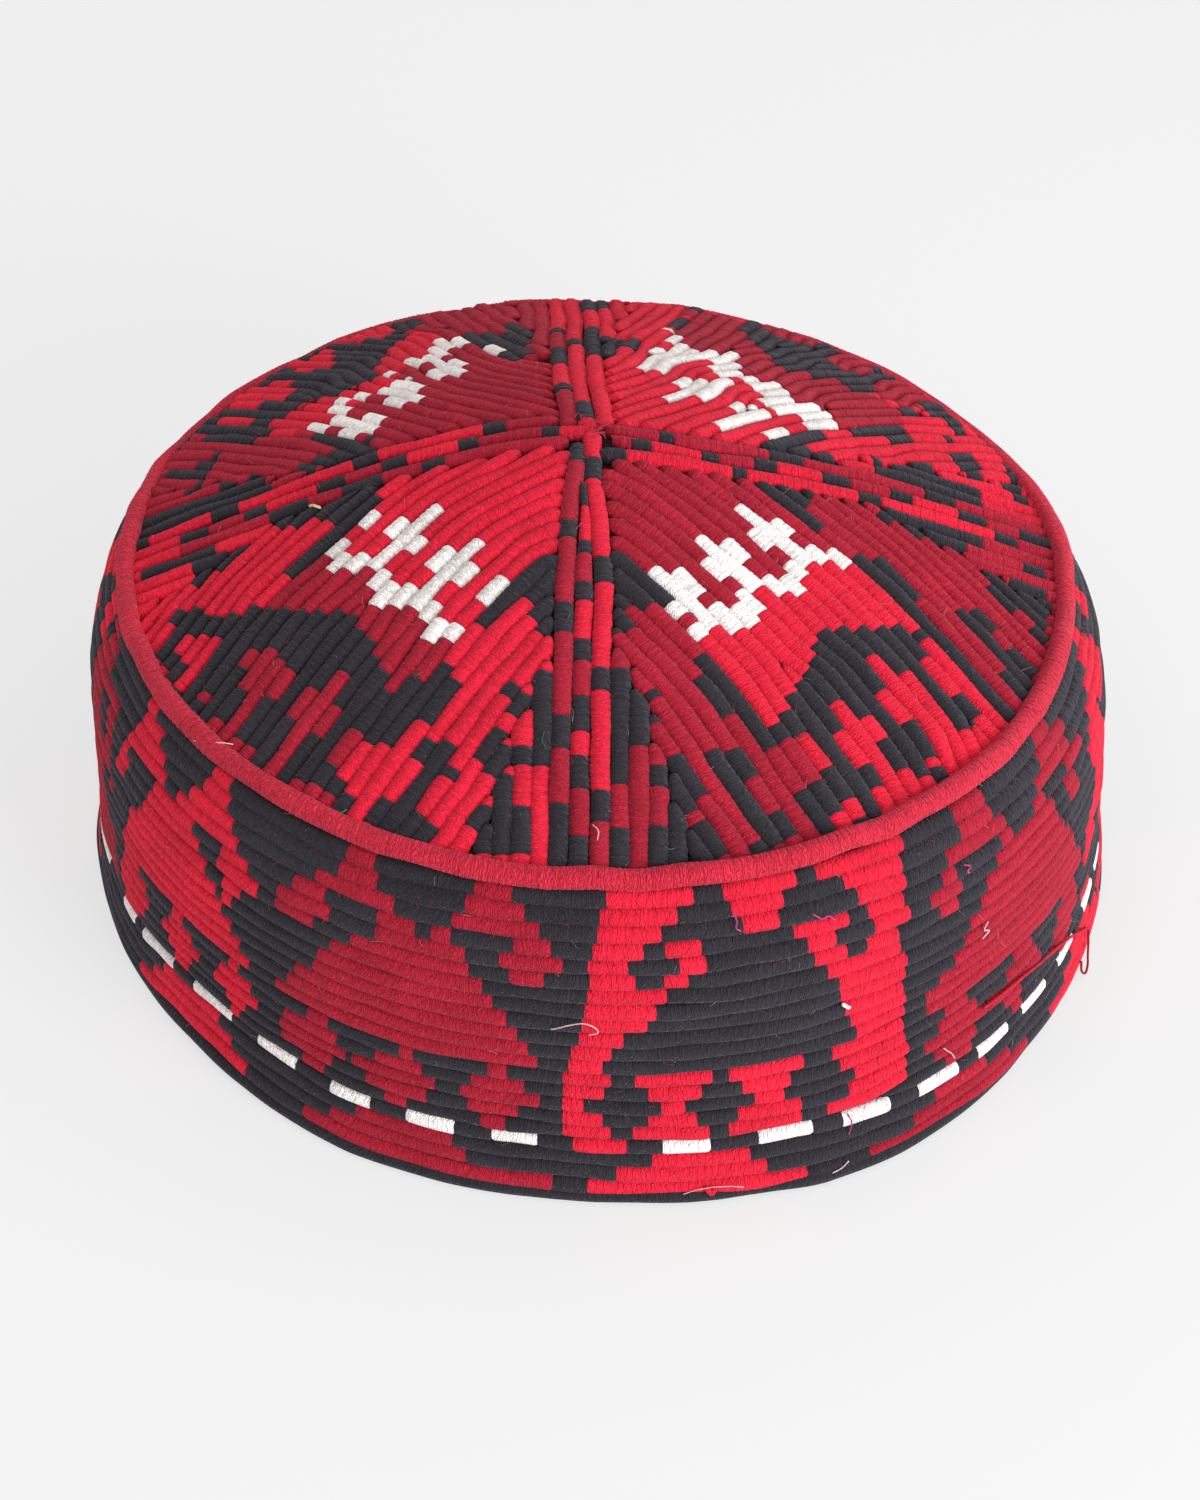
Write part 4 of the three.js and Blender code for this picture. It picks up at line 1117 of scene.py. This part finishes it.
CHARTS["back_right"] = """
D 18.5,58.5 22,65.5 20,72.5 30,74.5 31,62.5 32,57.5 34,51.5 35.5,45.5 36,42 44,41 47.5,43.5 49,37.5
  51,37 54,38.5 56.5,35.5 57.5,30.4 54,25.9 48,21.9 45,19.4 42,24.4 38,22.4 36,28.4 31,30.4 27,36.5
  26,42.5 19,42.5 17,50.5
K 31.2,70.5 31,64.5 31.8,57.5 33.8,50.5 35.3,45.5 35,41.8 37,41.5 43,41.5 45,43.8 48,41.5 50,36.8 53,39
  54.5,44.5 56,48.5 62,51 57,56.5 50,61.5 47,66.5 36,73.5 33,74.5
D 36,71.5 36.3,63.2 40,61.5 43,60.2 47,65 45,70 40,72.5
D 46.5,52.5 49.6,62.5 53.5,61 55.6,56.5 54.3,50 49,48.5
D 54.2,45.5 58,49.8 64,49 70.5,43.5 64,44.1 63,38.2 60,39.2 57,37.1 54.3,39.5
K 62.8,40.5 65,44.5 68.2,41.8 70.5,35.5 68.3,32.1 66.3,37.2 63,37.2
K 57.8,33.5 57.8,38.2 61,37.2 62.3,33.8 59,31.9
K 48,22.6 51.5,24.2 58.3,28.2 58.3,23.1 54,20.6 50,19.6 45.5,18.8
K 65.3,21.4 67,24.8 70,24.8 70.8,20.9 70.3,15.6 66.8,16.8
K 73,17.8 76,20.4 75.8,26.2 78.3,24.4 77.7,18.4 79,13 76,13.6 74.2,16.8
K 65,30.1 67,30.1 67,27.2 65,27.2
K 49.7,11.4 56.4,11.4 56.4,15.8 61.6,14.8 62.3,11.4 69.3,11.1 69.3,7.8 64.2,7.5 64.2,1.4 58.7,1.4
  58.3,6.8 50,7.2
K 38.5,15.6 41.8,16.8 41.2,13.4 37.6,11.1 36.6,8.4 40,8.2 42.2,9.6 42.2,7.5 37,3.5 34,1.4 31,4.8 29.8,7
  33,10.1 35,10.6 36.2,13
D 40.5,7.2 50,7 58.3,6.5 58.3,2.5 41,2.5
K 0.8,55.5 3,56.5 4.7,52.5 4.7,47.8 8.7,46.8 10.2,49.5 10.7,44.8 8,40.8 5,36.8 4,30.9 1.6,34 0.6,42.5
K 17.2,58.2 16.8,62.5 18,68.2 20.2,67.2 22.4,65 21.2,61.2 19.2,59.2
K 19.3,80.5 21.8,72.8 24.3,75.5 24,80.5
K 2,79.5 1.8,72.5 5.5,70.5 6.2,79.5
W 15.4,51.4 16.9,57.2 18.6,57.2 18.3,51.4 19.2,47.2 20.5,44.2 21.9,43.8 23.4,46.8 24.5,42.2 25.9,44.8
  28.4,48 28.4,39.5 29.3,37 27.4,31.3 25.5,28.1 24.2,23.1 20.3,17.1 19,19.6 15.3,14 13.2,16.4 16.3,20.8
  15.7,24.4 18.8,27.8 21.4,27.3 23.8,30.8 22.9,34.5 24.1,37 23.2,39.2 20.9,37.2 18.1,38.6 17.3,34.5
  14.8,26.8 12.8,29.6 10.3,27.2 9.7,30.1 11.3,39.5 12.6,42.2 15.1,42.9 16.9,44.5
W 28.2,31.3 30.9,34.2 32.4,31.6 35.3,34.2 35.5,30.9 37.4,28.8 36.9,24.8 40.9,27.2 43.7,24.4 44.6,20.8
  40.3,17.2 38.7,14.8 38.1,19.8 37.1,21.6 32.1,19.1 30.5,14.4 27.9,11 25.3,11 22.8,8 21.5,10 25.1,15
  26.8,19.8 30.1,19.8 31.8,23.2 31.2,28.2 29.4,28.8
W 30.3,10 34.6,13.5 35.7,12.6 34.9,9.8 31.5,8
"""


print("charted:", {name: len(chart_lines(text)) for name, text in CHARTS.items()}, "areas")

# %% Lay the quarters
CROWN_SQUEEZE = 1.24    # the crown's cords press into each other more than those of the band
SHORTEST_RUN = 1.3      # no length of yarn is shorter than this
VOTES = ((-0.7, 1.0), (-0.35, 1.1), (0, 1.2), (0.35, 1.1), (0.7, 1.0))    # places across a cord, weights


def chart_areas(text):
    """The areas of a chart as (yarn, corners)."""
    areas = []
    for line in chart_lines(text):
        yarn, *words = line.split()
        areas.append((yarn, np.array([[float(v) for v in word.split(",")] for word in words])))
    return areas


def inside(points, corners):
    """Even-odd test of plan points against a closed outline."""
    within = np.zeros(len(points), bool)
    before = np.roll(corners, 1, axis=0)
    for (x1, y1), (x2, y2) in zip(before, corners):
        crosses = (y1 > points[:, 1]) != (y2 > points[:, 1])
        with np.errstate(divide="ignore", invalid="ignore"):
            at = (x2 - x1) * (points[:, 1] - y1) / (y2 - y1 + 1e-12) + x1
        within ^= crosses & (points[:, 0] < at)
    return within


def runs_from_areas(plan, half, areas, ground):
    """The colours that most of a cord's width runs through, as runs over its own laid length."""
    def runs_at(lengths):
        at = np.arange(0, lengths[-1], 0.25)
        points = np.stack([np.interp(at, lengths, plan[:, k]) for k in (0, 1)], axis=1)
        ahead = unit(np.gradient(points, axis=0))
        aside = np.stack([-ahead[:, 1], ahead[:, 0]], axis=1) * np.interp(at, lengths, half)[:, None]
        votes = np.zeros((len(YARN_ORDER), len(at)))
        for share, weight in VOTES:
            seen = np.full(len(at), YARN_ORDER.index(ground))
            for yarn, corners in areas:
                seen[inside(points + aside * share, corners)] = YARN_ORDER.index(yarn)
            votes[seen, np.arange(len(at))] += weight
        colour = votes.argmax(axis=0)
        cuts = [0, *(np.nonzero(np.diff(colour))[0] + 1), len(at)]
        runs = []
        for first, last in zip(cuts, cuts[1:]):
            yarn, start = YARN_ORDER[colour[first]], at[first]
            end = at[last] if last < len(at) else lengths[-1]
            if runs and (end - start < SHORTEST_RUN or runs[-1][0] == yarn):
                runs[-1] = (runs[-1][0], runs[-1][1], float(end))
            else:
                runs.append((yarn, float(start), float(end)))
        return runs
    return runs_at


for name, guide in GUIDES.items():
    basket = CordBasket()
    areas = chart_areas(CHARTS[name])
    for plan, half in quarter_courses(guide):
        lay_on_dome(basket, plan, half * CROWN_SQUEEZE, runs_from_areas(plan, half, areas, guide["ground"]))
    basket.make(f"quarter_{name}_cords", [f"crown_gore_{name}"])

# %% [markdown]
# ## The edge cord and the rim's binding
#
# Both are closed rings, so they are laid by the same function. The edge cord is thicker and its
# turns are looser. The binding wraps the foot of the band, so it is wider than it is tall, and the
# cap stands on it. At the right it tucks in a little under the band.

# %% Edge cord and binding
TUCK_AZIMUTHS = [0, 40, 300, 325, 350]
TUCKS = [0.4, 0, 0, 0.5, 0.8]
around = np.radians(np.linspace(100, 460, 361))
same = np.ones(len(around))
edge_cord = CordBasket()
edge_line = np.stack([EDGE_RADIUS * np.cos(around), EDGE_RADIUS * np.sin(around),
                      BAND_HEIGHT - 0.2 - edge_drop(around)], axis=1)
edge_out = unit(np.stack([np.cos(around), np.sin(around), same * 1.1], axis=1))
edge_cord.lay(edge_line, edge_out, same * (EDGE_CORD / 2 + 0.15), same * EDGE_CORD / 2,
              [("P", 0, 1e4)], wander=0.2, lump=1.0)
edge_cord.make("edge_cord", ["crown_piping"])

binding = CordBasket()
tucked = np.interp(np.degrees(around) % 360, TUCK_AZIMUTHS, TUCKS, period=360)
foot_radius = float(band_radius(0)) - CLOTH_THICKNESS / 2 - 0.3 - tucked + rim_swell(around, 0)
foot_line = np.stack([foot_radius * np.cos(around), foot_radius * np.sin(around),
                      same * (RIM_CORD_HEIGHT / 2 + 0.05)], axis=1)
foot_out = np.stack([np.cos(around), np.sin(around), same * 0], axis=1)
binding.lay(foot_line, foot_out, same * RIM_CORD_HEIGHT / 2, same * RIM_CORD_WIDTH / 2,
            [("K", 0, 1e4)], wander=0.06)
binding.make("rim_cord", ["rim_binding"])

# %% [markdown]
# ## The cotton ground
#
# The cords are sewn to a plain cotton shell. Its outer face is coloured a dark red-brown as painted
# shade: it shows as a dark line between cords, where shade falls, and from below the shell shows as
# the cap's plain inner face. A shell of revolution is best made as on a lathe: half a section is
# drawn as a row of points and spun round the cap's middle in edit mode.

# %% Ground cloth
GROUND_OUTER = 1.9      # depth of the cloth's outer face below the crests of the cords
GROUND_INNER = CLOTH_THICKNESS
SPIN_STEPS = 120


def section(depth):
    """Points of the profile, a depth inside the crests, from the top of the dome to the rim."""
    points = []
    for radius in np.linspace(0, EDGE_RADIUS - depth * 1.2, 20):
        fall = float(dome_height(radius + 0.5) - dome_height(radius))
        drawn_in = max(radius + depth * fall * 0.5, 0) if radius else 0.0
        points.append((drawn_in, float(dome_height(radius)) - depth))
    for height in np.linspace(BAND_HEIGHT - 1.5 - depth * 1.1, RIM_CORD_HEIGHT - 0.6, 22):
        points.append((float(band_radius(height)) - depth * 1.02, height))
    return points


def linen(name, colour):
    material, tree, shader = matt_material(name, 0.9, 0.2)
    threads = noise(tree, object_places(tree), 1 / (0.9 * MM), 3)
    give_colour(tree, shader, colour, ranged(tree, threads, 0.3, 0.7, 0.75, 1.1))
    give_relief(tree, shader, threads, 0.5, 0.1 * MM)
    return material


profile = section(GROUND_OUTER) + section(GROUND_INNER)[::-1]
mesh = bpy.data.meshes.new("ground_cloth")
links = [(k, k + 1) for k in range(len(profile) - 1)]
mesh.from_pydata([(r * MM, 0, z * MM) for r, z in profile], links, [])
ground = bpy.data.objects.new("ground_cloth", mesh)
bpy.context.scene.collection.objects.link(ground)
bpy.ops.object.select_all(action="DESELECT")
ground.select_set(True)
bpy.context.view_layer.objects.active = ground
bpy.ops.object.mode_set(mode="EDIT")
bpy.ops.mesh.select_all(action="SELECT")
bpy.ops.mesh.spin(steps=SPIN_STEPS, angle=2 * math.pi, center=(0, 0, 0), axis=(0, 0, 1))
bpy.ops.mesh.select_all(action="SELECT")
bpy.ops.mesh.remove_doubles(threshold=0.00001)
bpy.ops.mesh.normals_make_consistent(inside=False)
bpy.ops.object.mode_set(mode="OBJECT")
# The spun shell has the cap's round form; the last step makes it oval like the rest.
flat = oval(np.array([v.co[:] for v in ground.data.vertices]) / MM) * MM
ground.data.vertices.foreach_set("co", flat.ravel())
# The outer face's dark colour is painted shade for the gaps between cords; the inner face has the cotton's
# own colour.
ground.data.materials.append(linen("painted_shade_cotton_ground", "#2A1416"))
ground.data.materials.append(linen("plain_cotton_inner_face", "#B9AA92"))
for face in ground.data.polygons:
    face.use_smooth = True
    looks_in = face.normal.z < -0.3 or (face.normal.x * face.center.x + face.normal.y * face.center.y) < 0
    face.material_index = 1 if looks_in else 0
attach(ground, "root")
print("ground cloth:", len(ground.data.polygons), "faces")

# %% [markdown]
# ## Stray fibres
#
# Wool is never quite smooth: short hairs stand off every cord. They are what softens the cap's
# edge and greys its blacks. Each hair is a curved strip of a few tiny faces, as wide as a hair
# has to be to show, rooted on a cord that is picked at random.

# %% Hairs
HAIR_COUNT = 5200
HAIR_WIDTH = 0.035
HAIR_STEPS = 4
HAIR_SIDES = 3
FIBRES = {"loose_red_fibre": "#C03A46", "loose_pale_fibre": "#C9A9A4", "loose_dark_fibre": "#3A3338"}
FIBRE_SHARES = [0.55, 0.2, 0.25]


def hair_material(name, colour):
    material, tree, shader = matt_material(name, 0.8, 0.5)
    patches = noise(tree, object_places(tree), 1 / (5 * MM))
    give_colour(tree, shader, colour, ranged(tree, patches, 0, 1, 0.6, 1.4))
    return material


hair_rng = np.random.default_rng(11)
hair_points, hair_faces, hair_kinds = [], [], []


def grow_hair(root, outward, length, lay_flat, kind):
    side = unit(np.cross(outward, hair_rng.normal(size=3)))
    way = unit(side * lay_flat + outward * (1 - lay_flat))
    curl = unit(np.cross(way, hair_rng.normal(size=3))) * hair_rng.uniform(0.2, 0.9)
    cross = unit(np.cross(way, outward) + 1e-6)
    first = len(hair_points)
    for k in range(HAIR_STEPS + 1):
        share = k / HAIR_STEPS
        bent = curl * length * share * share * 0.5 - outward * length * 0.25 * share ** 2
        middle = root + way * length * share + bent
        half = HAIR_WIDTH / 2 * (1 - 0.75 * share)
        for turn in range(HAIR_SIDES):
            angle = turn * 2 * math.pi / HAIR_SIDES
            hair_points.append(middle + cross * math.cos(angle) * half + outward * math.sin(angle) * half)
    for k in range(HAIR_STEPS):
        for turn in range(HAIR_SIDES):
            a, b = first + HAIR_SIDES * k + turn, first + HAIR_SIDES * k + (turn + 1) % HAIR_SIDES
            hair_faces.append((a, b, b + HAIR_SIDES, a + HAIR_SIDES))
            hair_kinds.append(kind)
    top = first + HAIR_SIDES * HAIR_STEPS
    hair_faces.extend([(first + 2, first + 1, first), (top, top + 1, top + 2)])
    hair_kinds.extend([kind, kind])


def dome_spot(x, y):
    surface, normal = dome_course(np.array([[x, y]], float))
    return surface[0], normal[0]


def band_spot(angle, height):
    radius = float(band_radius(height))
    slope = float(band_radius(height + 0.5) - band_radius(height - 0.5))
    normal = unit(np.array([math.cos(angle), math.sin(angle), -slope]))
    return np.array([radius * math.cos(angle), radius * math.sin(angle), height]), normal


for _ in range(HAIR_COUNT):
    kind = int(hair_rng.choice(3, p=FIBRE_SHARES))
    if hair_rng.random() < 0.45:
        radius, angle = EDGE_RADIUS * math.sqrt(hair_rng.random()), hair_rng.uniform(0, 2 * math.pi)
        root, outward = dome_spot(radius * math.cos(angle), radius * math.sin(angle))
    else:
        root, outward = band_spot(hair_rng.uniform(0, 2 * math.pi), hair_rng.uniform(1, BAND_HEIGHT))
    grow_hair(root - outward * 0.5, outward, hair_rng.uniform(0.8, 2.4), hair_rng.uniform(0.45, 0.95), kind)
hair_mesh = bpy.data.meshes.new("stray_fibres")
hair_places = oval(np.array(hair_points)) * MM
hair_places[:, 2] = np.maximum(hair_places[:, 2], 0)
hair_mesh.from_pydata(hair_places.tolist(), [], hair_faces)
for name, colour in FIBRES.items():
    hair_mesh.materials.append(hair_material(name, colour))
hair_mesh.polygons.foreach_set("material_index", np.array(hair_kinds, np.int32))
hair_mesh.update()
hairs_piece = bpy.data.objects.new("stray_fibres", hair_mesh)
bpy.context.scene.collection.objects.link(hairs_piece)
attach(hairs_piece, "root")
print("stray fibres:", HAIR_COUNT, "faces:", len(hair_faces))

# %% [markdown]
# ## Loose ends and lint
#
# Hand work leaves loose ends. A thin red thread lies across the band at the right and ends in a
# small loop that stands off the rim, and bits of lint in other colours cling to the wool. Each is a
# thin cord, charted by places that it passes through: on the band an azimuth, a height and how far
# it stands off; on the crown a place in plan and how far it stands up.

# %% Loose ends
LOOSE = """
band B 0.24 312,19.2,0.2 315.2,19,0.3 319,18.5,0.4 322.5,17.2,0.4 325.5,16.1,0.4 330.5,12.8,0.4
  334,9.4,0.4 336.6,6.6,0.4
band D 0.22 336.6,6.6,0.4 335.9,4.6,0.6 335,2.8,0.8 334.3,1.3,1 333.4,0.8,1 333,1.7,0.6 333.6,3,0.3
band B 0.5 278.7,3.5,0.1 279.1,2.6,0.35 279.5,3.1,0.1
band M 0.13 309.5,50.9,0.3 310.2,50.2,0.6 309.6,49.8,0.5 310,49.2,0.3
band H 0.12 312.2,37.9,0.3 311.4,37.1,0.6 312.2,36.2,0.6 311.4,35.1,0.3
band H 0.11 263.6,36.9,0.2 264.4,37.6,0.5 265.5,38.4,0.6 266.8,38.8,0.6 267.9,38.1,0.6 268.2,37,0.5
  267.4,36.3,0.3
band W 0.34 293.4,35.5,0.1 293.8,35.0,0.3 294.1,34.5,0.1
band H 0.08 276.4,2.6,0.1 277.6,3.4,0.3 279.2,3.8,0.4 281,3.5,0.3 282.4,2.8,0.1
band H 0.12 291.6,2.4,0.1 292.6,2.9,0.3 293.4,3.6,0.2
band M 0.12 282.4,55.6,0.1 282.6,54.4,0.4 282.4,53.6,0.4 282.9,53,0.2
band M 0.12 290.8,53.1,0.1 291.6,52.2,0.4 292.3,52.4,0.4 293,51.4,0.1
band M 0.1 293.8,12.6,0.1 294.1,10.6,0.3 293.7,8.6,0.1
band H 0.1 306,16.5,0.1 306.8,15,0.5 307.4,13.2,0.2
crown G 0.09 -30.4,-46.2,0.1 -29.6,-46.9,0.4 -28.9,-46.3,0.1
crown G 0.14 -43,-68.1,0.1 -42,-68.7,0.4 -41.1,-68.2,0.1
crown G 0.07 -9.6,-58.6,0.1 -9.9,-60.2,0.4 -9.4,-61.6,0.1
crown G 0.07 -5.2,-37.4,0.1 -4.7,-38.2,0.4 -5.2,-39.2,0.1
crown G 0.07 -5.8,-54.4,0.1 -4.9,-55.4,0.4 -5.1,-56.9,0.1
crown G 0.07 8.2,-77,0.1 9,-77.6,0.4 9.8,-77.2,0.1
crown G 0.07 30,-57.2,0.1 30.8,-57.9,0.4 31.2,-57.3,0.1
crown S 0.26 -48.4,-5,0.1 -47.5,-5.7,0.5 -46.6,-6.1,0.1
crown H 0.1 -66.4,-50.6,0.4 -64,-52,1 -61.6,-52.6,1 -59.8,-53,0.4
crown H 0.1 -2.6,-73.8,0.1 -1.8,-75,0.5 -2,-76.2,0.1
"""
LOOSE_STEP = 0.3
FUZZ_STRANDS = 16       # fine strands where the ribs meet
FUZZ_HALF = 0.07


def through(places):
    """A smooth course through charted places."""
    places = np.asarray(places, float)
    padded = np.concatenate([places[:1] * 2 - places[1:2], places, places[-1:] * 2 - places[-2:-1]])
    course = []
    for before, first, last, after in zip(padded, padded[1:], padded[2:], padded[3:]):
        for share in np.arange(0, 1, 0.125):
            course.append(0.5 * (2 * first + (last - before) * share
                                 + (2 * before - 5 * first + 4 * last - after) * share ** 2
                                 + (3 * first - before - 3 * last + after) * share ** 3))
    return np.array([*course, places[-1]])


def loose_place(surface, first, second, off):
    if surface == "crown":
        root, outward = dome_spot(first, second)
    else:
        angle = math.radians(first)
        root, outward = band_spot(angle, second)
        root = root + np.array([math.cos(angle), math.sin(angle), 0]) * float(rim_swell(angle, second))
    return root + outward * off


def lay_loose(basket, course, outward, half, yarn):
    halves = np.full(len(course), half)
    basket.lay(course, outward, halves, halves, [(yarn, 0, 1e3)], wander=0.02, step=LOOSE_STEP)


loose = CordBasket()
for line in chart_lines(LOOSE):
    surface, yarn, half, *places = line.split()
    course = through([loose_place(surface, *map(float, place.split(","))) for place in places])
    outward = unit(course * np.array([1, 1, 0]) + np.array([0, 0, 60]) * (surface == "crown"))
    lay_loose(loose, course, outward, float(half), yarn)
for _ in range(FUZZ_STRANDS):
    start = hair_rng.normal(0, 1.9, 2) + (0.6, 0)
    bend, end = start + hair_rng.normal(0, 1.1, (2, 2))
    rise = hair_rng.uniform(0.3, 0.7)
    strand = ((start, 0.1), (bend, rise), (end, 0.1))
    course = through([loose_place("crown", *spot, off) for spot, off in strand])
    lay_loose(loose, course, np.tile([0.0, 0.0, 1.0], (len(course), 1)), FUZZ_HALF, "F")
loose.make("loose_ends", [])

# %% [markdown]
# ## Stage and light
#
# The cap stands on a plain pale floor in even studio light: a bright surround, and one large soft
# lamp low at the right of the front that models the cords.

# %% Stage and light
FLOOR_SIZE = 6
FLOOR_GLOW = 0.63       # the floor's own light, so that it shows as pale as the surround
SURROUND = 0.95
LAMP_PLACE = (0.65, -0.71, 0.32)
LAMP_AIM = (0, 0, 0.04)
LAMP_SIZE = 0.6
LAMP_WATTS = 11.6

bpy.ops.object.select_all(action="DESELECT")
bpy.ops.mesh.primitive_plane_add(size=FLOOR_SIZE, location=(0, 0, 0))
floor = bpy.context.object
floor.name = "floor"
floor_material, _, floor_shader = matt_material("pale_floor", 1.0, 0.0)
floor_shader.inputs["Base Color"].default_value = linear("#828282")
floor_shader.inputs["Emission Color"].default_value = (1, 1, 1, 1)
floor_shader.inputs["Emission Strength"].default_value = FLOOR_GLOW
floor.data.materials.append(floor_material)

world = bpy.data.worlds.new("studio_surround")
bpy.context.scene.world = world
world.use_nodes = True
world.node_tree.nodes["Background"].inputs["Color"].default_value = (1, 0.98, 0.98, 1)
world.node_tree.nodes["Background"].inputs["Strength"].default_value = SURROUND

bpy.ops.object.light_add(type="AREA", location=LAMP_PLACE)
lamp = bpy.context.object
lamp.data.shape = "DISK"
lamp.data.size = LAMP_SIZE
lamp.data.energy = LAMP_WATTS
lamp.data.color = (0.94, 1, 1)
aim = Vector(LAMP_AIM) - lamp.location
lamp.rotation_mode = "QUATERNION"
lamp.rotation_quaternion = aim.to_track_quat("-Z", "Y")
bpy.context.scene.view_settings.view_transform = "Standard"
bpy.context.scene.view_settings.look = "None"
print("lamp from the cap, m:", round(aim.length, 2))
